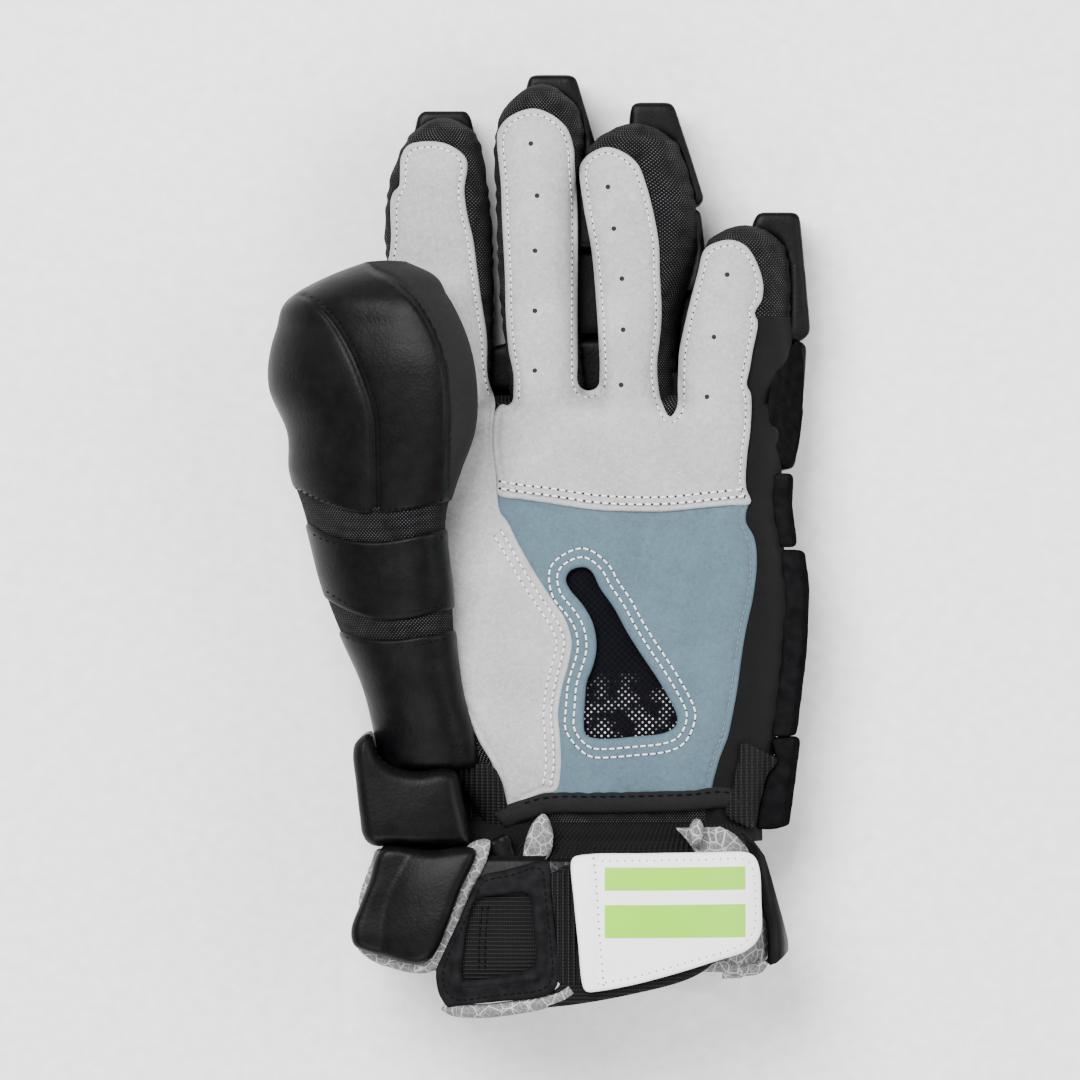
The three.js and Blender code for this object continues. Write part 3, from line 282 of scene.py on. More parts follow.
# Lines across and along the thumb. Columns: x, y
CAP_LOW = (
    (-105.6, 25), (-91.6, 20.1), (-87, 18.3), (-77.8, 13.8), (-67.3, 10.2), (-57.6, 9.2),
    (-44, 10.6), (-32.8, 13.1), (-14.1, 16.6),
)
MID_HIGH = (
    (-105.6, 12.7), (-88, 7.8), (-82.1, 6), (-75, 2.5), (-67.3, 0.4), (-56, -0.3), (-44, 1.4),
    (-32.1, 4.3), (-14.1, 7.4),
)
MID_LOW = (
    (-102.1, -8.4), (-84.5, -15.8), (-75.7, -20.4), (-67.3, -24.6), (-57.1, -27.4),
    (-46.9, -27.4), (-30.7, -23.9), (-14.1, -20.7),
)
THUMB_END = (
    (-105.6, -79.2), (-70.4, -79.2), (-58.5, -79.9), (-42.3, -79.9), (-29.6, -79.9),
    (-7.1, -79.2),
)
LOW_HIGH = (
    (-98.6, -20.7), (-77.5, -29.5), (-71.2, -31.6), (-62.4, -33.8), (-51.8, -34.5),
    (-41.6, -33.2), (-30.3, -31.3), (-14.1, -27.8),
)
CAP_SEAM = (
    (-90.2, 87), (-82.1, 85.6), (-74.3, 78.9), (-67.3, 68.3), (-61.6, 55.3), (-58.1, 43.3),
    (-57.6, 32.8), (-57.2, 8.8),
)
CAP_RIM = (
    (-60.6, 98.2), (-58.8, 95.4), (-52.1, 91.9), (-44.4, 85.2), (-38.1, 76.1), (-33.1, 63.4),
    (-31, 49.7), (-31.4, 32.8), (-32.1, 10.2),
)
CAP_STITCHES = [
    (
        (-80.7, 85.9), (-72.9, 79.6), (-65.5, 69), (-59.9, 56), (-56.4, 43.7), (-55.8, 32.8),
        (-55.5, 11.7),
    ),
    (
        (-86.6, 19), (-77.8, 14.8), (-67.3, 11.7), (-57.6, 10.6), (-44, 11.8), (-33.1, 14.3),
    ),
]
MID_STITCHES = [
    (
        (-80, 2.9), (-77.8, 1.4), (-68.7, -1.5), (-57.1, -2.8), (-44, -1), (-33.1, 1.6),
    ),
    (
        (-75.4, -17.2), (-67.3, -22.1), (-57.1, -25), (-44, -24.3), (-33.1, -22.1),
    ),
]
LOW_STITCHES = [(
    (-68.7, -33.4), (-59.2, -36.4), (-47.9, -37.1), (-32.4, -33.8),
)]

# Wrist and cuff outlines. Columns: x, y
WRAP_OUTLINE = (
    (-59.9, -67.5), (-64.5, -70.4), (-65.5, -74.6), (-64.5, -84.1), (-63.1, -96.4),
    (-62, -103.1), (-59.2, -106.3), (-49.3, -106.8), (-35.2, -107), (-23.6, -107),
    (-24.7, -99.9), (-26.8, -91.1), (-29.6, -80.9), (-33.8, -79.5), (-42.3, -80.7),
    (-50.4, -79.3), (-56.4, -75.6),
)
WRAP_STITCHES = (
    (-59.2, -70.4), (-55.7, -76.3), (-50, -80.6), (-42.3, -82.2), (-33.8, -80.9),
    (-29.6, -82.7),
)
WRAP_ELASTIC = (
    (-31, -79.9), (-24.7, -78.5), (-19.1, -78.1), (-16.2, -79.5), (-14.8, -81.3),
    (-12.7, -86.9), (-11.3, -101), (-14.1, -102.4), (-17.6, -103.5), (-22.6, -104.9),
    (-25, -104.5), (-26.1, -93.9),
)
LITTLE_ELASTIC = (
    (71.1, -70.7), (73.5, -71.4), (78.8, -74.2), (83.7, -77.1), (80.2, -82.7), (78.1, -90.8),
    (74.9, -101), (70.4, -99.6), (65.4, -96.4), (67.9, -85.5), (69.6, -77.1),
)
FLAP_OUTLINE = (
    (-55.3, -107.3), (-38.8, -108), (-22.6, -107.7), (-27.9, -122.1), (-33.1, -136.2),
    (-35.4, -141.8), (-38.4, -146), (-43, -147.8), (-52.8, -145.7), (-61.6, -143.2),
    (-64.8, -141.5), (-65.9, -139), (-65.9, -135), (-63.1, -127.4), (-59.9, -119.3),
)
FLAP_LINING = (
    (-24.7, -105.9), (-17.6, -104.5), (-18.4, -110.8), (-25, -124.9), (-29.6, -137.9),
    (-33.1, -146.7), (-37.7, -150.4), (-43.7, -151), (-51.1, -149.6), (-58.8, -146.9),
    (-64.1, -141.8), (-56.4, -140.4), (-43, -143.9), (-35.2, -126.3),
)
TUCKED_LINING = (
    (-21.9, -105.9), (-16.9, -104.5), (-11, -102.4), (-9.6, -107), (-8.5, -111.5),
    (-10.3, -114.4), (-20.8, -117.2), (-22.6, -112.3),
)
PATCH_OUTLINE = (
    (-20.8, -117.2), (-13.4, -115.1), (-6.4, -113.3), (2.1, -111.5), (3.5, -113.3),
    (3.8, -121.1), (4.5, -128.8), (5.4, -136.7), (6.6, -151.3), (5.4, -155.9), (2.4, -158.4),
    (-14.1, -160.5), (-29.6, -162.2), (-32.1, -162.9), (-34.2, -160.1), (-35.4, -157.7),
    (-36.3, -150.3), (-33.8, -143.9), (-28.9, -133.4), (-24.7, -124.6),
)
PATCH_HOLE = (
    (-21.9, -124.9), (-14.1, -123.5), (-5.7, -122.8), (-3.9, -123.9), (-2.5, -131.6),
    (-1.8, -146.7), (-3.6, -148.9), (-14.1, -151.3), (-24.7, -153.8), (-26.4, -152.4),
    (-26.4, -140.4), (-24.3, -129.9),
)
BUCKLE_LINE = (
    (-23.3, -123.5), (-14.1, -121.8), (-4.6, -121.1), (-1.8, -122.8), (-0.4, -130.9),
    (0.3, -147.8), (-1.8, -151), (-14.1, -153.8), (-25, -156.3), (-28.2, -154.8),
    (-29.3, -151), (-27.2, -136.9),
)
PATCH_STITCHES = (
    (-19.8, -118.9), (-10.6, -116.7), (0.3, -114), (1.5, -119.3), (2.4, -128.1), (3.3, -136.9),
    (4.4, -150.3), (3.1, -154.5), (0.3, -156.4), (-14.1, -158.2), (-29.6, -159.9),
    (-32.1, -158), (-34, -152.4), (-32.8, -146.7), (-27.5, -135.1), (-22.6, -124.9),
)
WEBBING_STITCHES = (
    (-20.1, -127), (-20.8, -135.1), (-21.2, -142.2), (-21.2, -149.6),
)
SLOT_BAR = (
    (-27.9, -154.8), (-14.1, -153.4), (-0.8, -151.3),
)
PATCH_PIPING = (
    (-33.1, -161.5), (-30.3, -163.3), (-21.5, -164), (-10.6, -162.9), (0.7, -160.8),
    (7.7, -158.4), (10.9, -156.3),
)
STRAP_ELASTIC = (
    (3.8, -116.1), (7, -115.1), (10.7, -114.4), (11.9, -126.3), (13.3, -140.4), (14.7, -154.1),
    (11.2, -154.8), (6.6, -154.1), (5.6, -140.4), (4.5, -126.3),
)
STRAP_BASE = (
    (5.6, -115.1), (35.2, -114.4), (73.9, -115.1), (73.9, -135.1), (64, -144.6), (53.8, -152),
    (31.3, -158.2), (7, -162.2), (1, -162.2), (3.1, -158), (7, -154.5),
)
TAB_OUTLINE = (
    (10.9, -111.5), (11.9, -110.1), (17.9, -109.1), (35.2, -108.9), (56.3, -108.7),
    (70.7, -108.7), (73.5, -109.3), (75.6, -111.2), (77, -115.8), (77.4, -124.6),
    (77.6, -134.4), (77, -137.6), (75.6, -140.1), (71.8, -143.2), (61.6, -146.4),
    (51.2, -149.6), (40.4, -152.6), (31.3, -154.8), (17.9, -157), (15.8, -156.6),
    (14.7, -154.1), (13.3, -140.4), (11.9, -126.3),
)
TAB_STITCHES = (
    (21.8, -111.5), (38.7, -111.4), (56.3, -111.2), (70.7, -111.2), (73.2, -112.6),
    (74.6, -116.5), (75.1, -134.1), (73.9, -137.6), (70.7, -140.8), (50.6, -146.9),
    (30.9, -152.2), (20.4, -154.1),
)
TAB_FOLD_STITCHES = (
    (18.6, -110.5), (19.5, -119.3), (20.4, -133.4), (21.4, -145.7), (22.1, -154.5),
)
CUFF_PIPING_RIGHT = (
    (48.9, -149.9), (52.8, -148.5), (57.7, -147.8), (64, -148.9), (70.4, -150.3),
    (76.7, -149.6), (78.1, -147.5),
)
BACK_FOOT = (
    (-74, -128.1), (-66.2, -131.6), (-62.7, -137.6), (-52.1, -143.9), (-38.8, -146.7),
    (-36.3, -150.3), (-33.1, -153.1), (76, -153.3), (83.4, -149.2), (88, -143.9),
)
BACK_HEAD = (
    (-74, -121.1), (-66.2, -114.4), (-61.3, -108.4), (-21.2, -108), (-13.4, -101.2),
    (68.6, -100.3), (73.2, -102.4), (76.3, -105.2), (79.5, -109.8), (82, -120.3),
    (85.5, -133.7), (88, -142.2),
)
FRONT_FOOT = (
    (-74, -128.1), (-64.5, -134.1), (-50, -142.5), (-38.1, -145.7), (-35.2, -156.3),
    (-31.7, -161.5), (2.4, -157.3), (6.3, -155.2),
)
SIDE_LINING = (
    (-56.7, -112.3), (-59.2, -113.3), (-61.3, -117.9), (-63.1, -123.5), (-63.6, -127.4),
    (-62, -129.5), (-59.2, -125.3), (-55.3, -118.2),
)
SIDE_PATCH = (
    (91.5, 71.5), (88.3, 68.3), (84.1, 62.7), (81.3, 54.9), (80.4, 46.9), (81.3, 38.1),
    (83.4, 31), (86.5, 25.7), (89, 26.4), (91.1, 31.4), (92.5, 39.1), (93.2, 47.9),
    (93.4, 57.4), (92.9, 66.6),
)
CUFF_BITS = (
    (52.8, -98.9), (54.5, -97.1), (56.6, -98.2), (57.3, -101.3), (56.3, -105.2),
    (54.2, -107.3), (52.4, -105.6), (52, -102),
)
TUCKED_LINING_LOW = (
    (-5, -104.5), (-2.2, -98.2), (1.4, -95.4), (4.2, -100.3), (4.5, -105.9), (2.8, -110.8),
    (-3.6, -112.6), (-5.7, -113),
)


# Curves and outlines

def even(line, step, closed=False):
    """Points spaced by about step along a polyline, by its running length."""
    line = np.asarray(line, float)
    if closed:
        line = np.vstack([line, line[:1]])
    leg = np.linalg.norm(np.diff(line, axis=0), axis=1)
    run = np.concatenate([[0.0], np.cumsum(leg)])
    count = max(int(round(run[-1] / step)), 3)
    at = np.linspace(0.0, run[-1], count + 1)
    out = np.stack([np.interp(at, run, line[:, k]) for k in range(line.shape[1])], axis=1)
    return out[:-1] if closed else out


def curve(points, step, closed=True):
    """Centripetal Catmull-Rom curve through the points, with points spaced by step on it."""
    p = np.asarray(points, float)
    if closed:
        q = np.vstack([p[-1:], p, p[:2]])
    else:
        q = np.vstack([2 * p[:1] - p[1:2], p, 2 * p[-1:] - p[-2:-1]])
    a, b, c, d = q[:-3, None], q[1:-2, None], q[2:-1, None], q[3:, None]
    gap = [np.sqrt(np.linalg.norm(n - m, axis=2, keepdims=True)) + 1e-6
           for m, n in ((a, b), (b, c), (c, d))]
    t1 = gap[0]
    t2 = t1 + gap[1]
    t3 = t2 + gap[2]
    t = t1 + (t2 - t1) * np.linspace(0.0, 1.0, 16, endpoint=False)[None, :, None]
    ab = ((t1 - t) * a + t * b) / t1
    bc = ((t2 - t) * b + (t - t1) * c) / (t2 - t1)
    cd = ((t3 - t) * c + (t - t2) * d) / (t3 - t2)
    abc = ((t2 - t) * ab + t * bc) / t2
    bcd = ((t3 - t) * bc + (t - t1) * cd) / (t3 - t1)
    dense = (((t2 - t) * abc + (t - t1) * bcd) / (t2 - t1)).reshape(-1, p.shape[1])
    if not closed:
        dense = np.vstack([dense, p[-1:]])
    return even(dense, step, closed)


def inside(points, loop):
    """True where a point lies inside the loop, by the even-odd rule."""
    x, y = points[:, 0, None], points[:, 1, None]
    x0, y0 = loop[:, 0], loop[:, 1]
    x1, y1 = np.roll(loop, -1, axis=0).T
    cross = ((y0 > y) != (y1 > y)) & (x < (x1 - x0) * (y - y0) / (y1 - y0 + 1e-12) + x0)
    return cross.sum(axis=1) % 2 == 1


def away(points, line, closed=True):
    """Distance of each point from the nearest leg of a polyline, seen from above."""
    start = line if closed else line[:-1]
    end = np.roll(line, -1, axis=0) if closed else line[1:]
    leg = end - start
    found = []
    for block in np.array_split(points, max(len(points) // 4000, 1)):
        gone = block[:, None, :] - start
        t = np.clip((gone * leg).sum(-1) / ((leg * leg).sum(-1) + 1e-12), 0.0, 1.0)
        found.append(np.sqrt(((gone - t[..., None] * leg) ** 2).sum(-1)).min(axis=1))
    return np.concatenate(found)


def grown(loop, distance):
    """Loop moved outwards by a distance along the normals of its smoothed legs."""
    ahead = np.roll(loop, -1, axis=0) - np.roll(loop, 1, axis=0)
    ahead = ahead / (np.linalg.norm(ahead, axis=1, keepdims=True) + 1e-9)
    x, y = loop.T
    area = np.sum(x * np.roll(y, -1) - np.roll(x, -1) * y)
    side = 1.0 if area > 0 else -1.0
    return loop + side * distance * np.stack([ahead[:, 1], -ahead[:, 0]], axis=1)


def waves(x, y, seed=0.0):
    """Soft uneven waves between about -1 and 1: a sum of five sines of crossed directions."""
    total = np.zeros(np.broadcast(x, y).shape)
    for k in range(5):
        turn = 1.7 * k + seed
        wave = 2 * np.pi / (19.0 + 7.0 * k)
        shift = 1.3 * np.sin(0.06 * y + 2.1 * k + seed)
        total = total + np.sin(wave * (x * np.cos(turn) + y * np.sin(turn)) + shift + 3.1 * k)
    return total / 3.2


# Tubes of the hand, thumb and cuff

def table_at(table, y):
    """Every column of a table at y, by cubics with the slopes of the rows beside them."""
    rows = np.asarray(table, float)
    ys, values = rows[:, 0], rows[:, 1:]
    slopes = np.gradient(values, ys, axis=0)
    y = np.asarray(y, float)
    i = np.clip(np.searchsorted(ys, y, side="right") - 1, 0, len(ys) - 2)
    h = (ys[i + 1] - ys[i])[..., None]
    t = np.clip((y - ys[i])[..., None] / h, 0.0, 1.0)
    a, b = values[i], values[i + 1]
    m, n = slopes[i] * h, slopes[i + 1] * h
    out = ((2 * t**3 - 3 * t**2 + 1) * a + (t**3 - 2 * t**2 + t) * m
           + (3 * t**2 - 2 * t**3) * b + (t**3 - t**2) * n)
    return np.moveaxis(out, -1, 0)


def tube_point(table, y, angle, grow, power, lean=None, front=0.0):
    """Points on a flattened tube: a super-ellipse |u|^p + |v|^p = 1 across, leaning with depth."""
    found = table_at(table, y)
    x0, half_w, middle, half_d = found[:4]
    tilt = found[4] if len(found) > 4 else 0.0
    c, s = np.cos(angle), np.sin(angle)
    u = np.sign(c) * np.abs(c) ** (2 / power)
    v = np.sign(s) * np.abs(s) ** (2 / power)
    z = middle + (half_d + grow) * v + tilt * half_w * u
    x = x0 + (half_w + grow) * u
    if lean is not None:
        x = x + (lean[0] + (lean[1] - lean[0]) * (u + 1) / 2) * (front - z)
    return np.stack(np.broadcast_arrays(x, y, z), axis=-1)


def angles(count, power, ratio, low=0.0, high=2 * np.pi):
    """Angles that space points evenly along a super-ellipse of that depth-to-width ratio."""
    a = np.linspace(low, high, 4001)
    c, s = np.cos(a), np.sin(a)
    u = np.sign(c) * np.abs(c) ** (2 / power)
    v = ratio * np.sign(s) * np.abs(s) ** (2 / power)
    run = np.concatenate([[0.0], np.cumsum(np.hypot(np.diff(u), np.diff(v)))])
    whole = abs(high - low - 2 * np.pi) < 1e-6
    at = np.linspace(0.0, run[-1], count + 1)[:-1] if whole else np.linspace(0.0, run[-1], count)
    return np.interp(at, run, a)


def tube_front(table, x, y, power, lean=None, front=0.0):
    """Height of a tube's upper side over (x, y): the last crossing of x along its upper arc,
    between 72 points on it."""
    x, y = np.broadcast_arrays(np.asarray(x, float), np.asarray(y, float))
    shape = x.shape
    x, y = x.ravel(), y.ravel()
    x0, half_w, middle, half_d = (v[:, None] for v in table_at(table, y)[:4])
    u = -np.cos(np.linspace(0.0, np.pi, 72))
    v = (1 - np.abs(u) ** power) ** (1 / power)
    z = middle + half_d * v
    across = x0 + half_w * u
    if lean is not None:
        across = across + (lean[0] + (lean[1] - lean[0]) * (u + 1) / 2) * (front - z)
    passed = across <= x[:, None]
    k = 71 - np.argmax(passed[:, ::-1], axis=1)
    ends = np.asarray(table, float)[[0, -1], 0]
    off = ~passed.any(axis=1) | (k >= 71) | (y < ends[0]) | (y > ends[1])
    k = np.minimum(k, 70)
    row = np.arange(len(x))
    step = across[row, k + 1] - across[row, k]
    t = np.clip((x - across[row, k]) / np.where(step > 1e-9, step, 1.0), 0.0, 1.0)
    found = z[row, k] * (1 - t) + z[row, k + 1] * t
    return np.where(off, middle[:, 0], found).reshape(shape)


def hand_height(x, y):
    """Front of the glove's hand: the highest of the palm and the four fingers, rounded where
    they meet."""
    heights = [tube_front(PALM, x, y, PALM_POWER, PALM_LEAN, PALM_FRONT)]
    for table, lean in FINGERS.values():
        heights.append(tube_front(table, x, y, FINGER_POWER, (lean, lean), FINGER_FRONT))
    stack = np.stack(heights) / 1.6
    top = stack.max(axis=0)
    return 1.6 * (top + np.log(np.exp(stack - top).sum(axis=0)) * 0.55)


def cuff_height(x, y):
    """Front of the cuff."""
    return tube_front(CUFF, x, np.clip(y, -164.0, -88.0), CUFF_POWER)


# Surfaces as parts: (points, faces, uv, material index)

def grid_part(points, uv=None, around=False, caps=False, material=0):
    """Surface over a grid of points, closed round its columns if around, and its two end rows
    closed by fans if caps."""
    rows, cols = points.shape[:2]
    flat = points.reshape(-1, 3)
    r = np.arange(rows - 1)[:, None] * cols
    c = np.arange(cols if around else cols - 1)[None, :]
    n = (c + 1) % cols
    quads = np.stack([r + c, r + n, r + cols + n, r + cols + c], axis=-1).reshape(-1, 4)
    if uv is None:
        run = np.linalg.norm(np.diff(points[rows // 2], axis=0), axis=1)
        across = np.concatenate([[0.0], np.cumsum(run)])
        uv = np.stack([np.broadcast_to(across, (rows, cols)), points[..., 1]], axis=-1)
    flat_uv = uv.reshape(-1, 2)
    faces = [quads]
    if caps:
        k = np.arange(cols)
        m = (k + 1) % cols
        last = (rows - 1) * cols
        ends = np.stack([points[0].mean(axis=0), points[-1].mean(axis=0)])
        flat = np.vstack([flat, ends])
        flat_uv = np.vstack([flat_uv, uv[0].mean(axis=0), uv[-1].mean(axis=0)])
        first = np.full(cols, rows * cols)
        faces.append(np.stack([first, m, k], axis=1))
        faces.append(np.stack([first + 1, last + k, last + m], axis=1))
    return flat, faces, flat_uv, material


def thick_part(outer, inner, uv, around=False, material=0):
    """Closed shell between two grids of the same shape, its open borders walled."""
    rows, cols = outer.shape[:2]
    if around:
        ring = np.concatenate([outer, inner[::-1]], axis=0)
        both = np.concatenate([uv, uv[::-1]], axis=0)
        closed = np.concatenate([ring, ring[:1]], axis=0)
        part = grid_part(closed, np.concatenate([both, both[:1]], axis=0), True, False, material)
        count = 2 * rows * cols
        faces = [np.where(f >= count, f - count, f) for f in part[1]]
        return part[0][:count], faces, part[2][:count], material
    flat, faces, flat_uv, _ = grid_part(outer, uv)
    index = np.arange(rows * cols).reshape(rows, cols)
    rim = np.concatenate([index[0, :-1], index[:-1, -1], index[-1, :0:-1], index[:0:-1, 0]])
    nxt = np.roll(rim, -1)
    count = rows * cols
    under = faces[0][:, ::-1] + count
    walls = np.stack([nxt, rim, rim + count, nxt + count], axis=1)
    return (np.vstack([flat, inner.reshape(-1, 3)]), [faces[0], under, walls],
            np.vstack([flat_uv, flat_uv]), material)


def cut_part(loops, spacing, height, thick, rim=1.2, material=0, steps=2, rings_at=()):
    """Closed sheet over an outline with holes: a triangle net with its points on the outline,
    lifted by height(x, y, distance from the rim), its underside lower by thick."""
    outer = loops[0]
    low, high = outer.min(axis=0), outer.max(axis=0)
    gx, gy = np.meshgrid(np.arange(low[0], high[0], spacing),
                         np.arange(low[1], high[1], spacing * 0.866))
    gx[1::2] += spacing / 2
    fill = np.stack([gx.ravel(), gy.ravel()], axis=1)

    def depth(points):
        return np.min([away(points, loop) for loop in loops], axis=0)

    def within(points):
        keep = inside(points, outer)
        for hole in loops[1:]:
            keep &= ~inside(points, hole)
        return keep

    rings = []
    bands = rim * (1 - np.cos(np.linspace(0.0, np.pi / 2, steps + 1)[1:]))
    last = max((rim, *rings_at))
    for reach in (*bands, *rings_at, last + 0.8 * spacing):
        for number, loop in enumerate(loops):
            ring = grown(loop, reach if number else -reach)
            ring = ring[within(ring)]
            if len(ring):
                rings.append(ring[depth(ring) > 0.9 * reach])
    fill = fill[within(fill)]
    fill = fill[depth(fill) > last + 1.5 * spacing]
    points = np.vstack(list(loops) + rings + [fill])
    starts = np.cumsum([0] + [len(loop) for loop in loops])
    edges = np.concatenate([
        np.stack([first + np.arange(len(loop)), first + (np.arange(len(loop)) + 1) % len(loop)], 1)
        for first, loop in zip(starts, loops)])
    made = delaunay_2d_cdt([Vector(p) for p in points.tolist()], edges.tolist(), [], 0, 1e-4)
    plan = np.array([[v.x, v.y] for v in made[0]])
    triangles = np.array([f for f in made[2] if len(f) == 3])
    triangles = triangles[within(plan[triangles].mean(axis=1))]
    corner = plan[triangles]
    first, second = corner[:, 1] - corner[:, 0], corner[:, 2] - corner[:, 0]
    turned = first[:, 0] * second[:, 1] - first[:, 1] * second[:, 0] < 0
    triangles[turned] = triangles[turned][:, ::-1]
    used, triangles = np.unique(triangles, return_inverse=True)
    triangles = triangles.reshape(-1, 3)
    plan = plan[used]
    top = np.column_stack([plan, height(plan[:, 0], plan[:, 1], depth(plan))])
    count = len(top)
    sides = np.concatenate([triangles[:, [0, 1]], triangles[:, [1, 2]], triangles[:, [2, 0]]])
    key = np.sort(sides, axis=1) @ np.array([count, 1])
    _, where, times = np.unique(key, return_index=True, return_counts=True)
    border = sides[where[times == 1]]
    a, b = border.T
    walls = np.stack([a, a + count, b + count, b], axis=1)
    bottom = top - np.array([0.0, 0.0, thick])
    return (np.vstack([top, bottom]), [triangles, triangles[:, ::-1] + count, walls],
            np.vstack([plan, plan]), material)


def roll(edge, radius, drop=None):
    """Drop of a rim rounded over radius: a quarter circle, scaled to drop."""
    t = np.clip(1 - edge / radius, 0.0, 1.0)
    return (radius if drop is None else drop) * (1 - np.sqrt(1 - t * t))


def carried_part(path, profile, up=(0.0, 0.0, 1.0), closed=False, material=0):
    """Profile (side, height) carried along a path, square to it and to up; ends fanned."""
    if closed:
        ahead = np.roll(path, -1, axis=0) - np.roll(path, 1, axis=0)
    else:
        ahead = np.gradient(path, axis=0)
    ahead = ahead / np.linalg.norm(ahead, axis=1, keepdims=True)
    side = np.cross(ahead, np.asarray(up))
    side = side / np.linalg.norm(side, axis=1, keepdims=True)
    rise = np.cross(side, ahead)
    profile = np.asarray(profile, float)
    points = (path[:, None, :] + profile[None, :, :1] * side[:, None, :]
              + profile[None, :, 1:] * rise[:, None, :])
    leg = np.linalg.norm(np.diff(path, axis=0), axis=1)
    run = np.concatenate([[0.0], np.cumsum(leg)])
    around = np.linspace(0.0, np.ptp(profile[:, 0]) * 3, len(profile))
    uv = np.stack(np.broadcast_arrays(run[:, None], around[None, :]), axis=-1)
    if closed:
        points = np.concatenate([points, points[:1]])
        uv = np.concatenate([uv, uv[-1:] + 0.5])
    return grid_part(points, uv, True, not closed, material)


def oval(width, height, sides=12):
    """Closed oval profile."""
    a = np.linspace(0.0, 2 * np.pi, sides, endpoint=False)
    return np.stack([width / 2 * np.cos(a), height / 2 * np.sin(a)], axis=1)


def stitch_part(line, surface, closed=False, pitch=2.3, length=1.7, width=0.62, lift=0.12,
                material=1):
    """Threads laid end to end on a line: five-sided spindles on surface(x, y), sunk by half."""
    line = even(line, pitch, closed)
    z = surface(line[:, 0], line[:, 1])
    knots = np.column_stack([line, z])
    ahead = (np.roll(knots, -1, axis=0) - knots) if closed else np.diff(knots, axis=0)
    middle = (knots if closed else knots[:-1]) + ahead / 2
    middle[:, 2] = surface(middle[:, 0], middle[:, 1]) + lift
    ahead = ahead / np.linalg.norm(ahead, axis=1, keepdims=True)
    side = np.cross(ahead, [0.0, 0.0, 1.0])
    side = side / np.linalg.norm(side, axis=1, keepdims=True)
    rise = np.cross(side, ahead)
    a = np.linspace(0.0, 2 * np.pi, 5, endpoint=False)
    along = np.array([-0.5, -0.32, 0.32, 0.5]) * length
    radius = np.array([0.4, 1.0, 1.0, 0.4]) * width / 2
    shape = np.stack([np.repeat(along, 5), np.outer(radius, np.cos(a)).ravel(),
                      0.8 * np.outer(radius, np.sin(a)).ravel()], axis=1)
    points = (middle[:, None] + shape[None, :, :1] * ahead[:, None]
              + shape[None, :, 1:2] * side[:, None] + shape[None, :, 2:] * rise[:, None])
    k = np.arange(5)
    ring = np.stack([k, (k + 1) % 5, (k + 1) % 5 + 5, k + 5], axis=1)
    quads = np.concatenate([ring, ring + 5, ring + 10])
    base = (np.arange(len(middle)) * 20)[:, None, None]
    ends = np.stack([k[::-1], k + 15])
    return (points.reshape(-1, 3), [(quads + base).reshape(-1, 4), (ends + base).reshape(-1, 5)],
            np.repeat(middle[:, :2], 20, axis=0), material)


def dot_part(centres, surface, radius, material=1, flat=0.25):
    """Small flattened balls at points on surface(x, y), such as dark dots of painted shade for
    punched holes.
    """
    centres = np.asarray(centres, float)
    a = np.linspace(0.0, 2 * np.pi, 8, endpoint=False)
    levels = np.array([-0.9, 0.0, 0.75])
    ring = np.sqrt(1 - levels**2) * radius
    shape = np.stack([np.outer(ring, np.cos(a)).ravel(), np.outer(ring, np.sin(a)).ravel(),
                      np.repeat(levels, 8) * radius * flat], axis=1)
    z = surface(centres[:, 0], centres[:, 1])
    points = np.column_stack([centres, z])[:, None] + shape[None]
    k = np.arange(8)
    quad = np.stack([k, (k + 1) % 8, (k + 1) % 8 + 8, k + 8], axis=1)
    quads = np.concatenate([quad, quad + 8])
    base = (np.arange(len(centres)) * 24)[:, None, None]
    ends = np.stack([k[::-1], k + 16])
    return (points.reshape(-1, 3), [(quads + base).reshape(-1, 4), (ends + base).reshape(-1, 8)],
            np.repeat(centres, 24, axis=0), material)


def make(name, parts, materials, nodes=()):
    """One closed, smooth-shaded object from parts, in metres, that stands for CAD nodes."""
    points, uvs, faces, slots = [], [], [], []
    base = 0
    for flat, part_faces, uv, material in parts:
        points.append(flat)
        uvs.append(uv)
        kinds = material if isinstance(material, tuple) else (material,) * len(part_faces)
        for group, kind in zip(part_faces, kinds):
            faces.extend((group + base).tolist())
            slots.append(np.full(len(group), kind))
        base += len(flat)
    mesh = bpy.data.meshes.new(name)
    mesh.from_pydata((np.vstack(points) * MM).tolist(), [], faces)
    mesh.polygons.foreach_set("material_index", np.concatenate(slots).astype(np.int32))
    mesh.polygons.foreach_set("use_smooth", np.ones(len(faces), dtype=bool))
    corner = np.empty(len(mesh.loops), dtype=np.int32)
    mesh.loops.foreach_get("vertex_index", corner)
    layer = mesh.uv_layers.new(name="UVMap")
    layer.data.foreach_set("uv", np.vstack(uvs)[corner].ravel())
    work = bmesh.new()
    work.from_mesh(mesh)
    bmesh.ops.recalc_face_normals(work, faces=work.faces)
    work.to_mesh(mesh)
    work.free()
    for material in materials:
        mesh.materials.append(material)
    made = bpy.data.objects.new(name + "_skin", mesh)
    bpy.context.scene.collection.objects.link(made)
    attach(made, "root")
    if nodes:
        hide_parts(*nodes)
    return made


def sewn(outline, holes=()):
    """Area of a sheet cut to an outline, by the shoelace sum less that of its holes; it is not
    kept or used."""
    def size(loop):
        x, y = np.asarray(loop, dtype=float).T
        return abs(np.sum(x * np.roll(y, -1) - y * np.roll(x, -1))) / 2.0

    area = size(outline) - sum(size(hole) for hole in holes)


def panel(name, parts, materials, outline, holes=()):
    """A leather panel as a sheet, with its threads and the dots of painted shade at its holes as
    one piece on it.
    """
    leather_piece = make(name, parts[:1], materials[:1], (name,))
    threads = make(name + "_threads", parts[1:], materials)
    sewn(outline, holes)
    return leather_piece


def banded(made):
    """Reads the face areas of a made cloth band; nothing uses them. Declares a cloth band of
    the given width in mm: its length is half its whole surface over that width. So its area
    share is 1 by construction, which tests nothing.
    """
    area = np.empty(len(made.data.polygons))
    made.data.polygons.foreach_get("area", area)


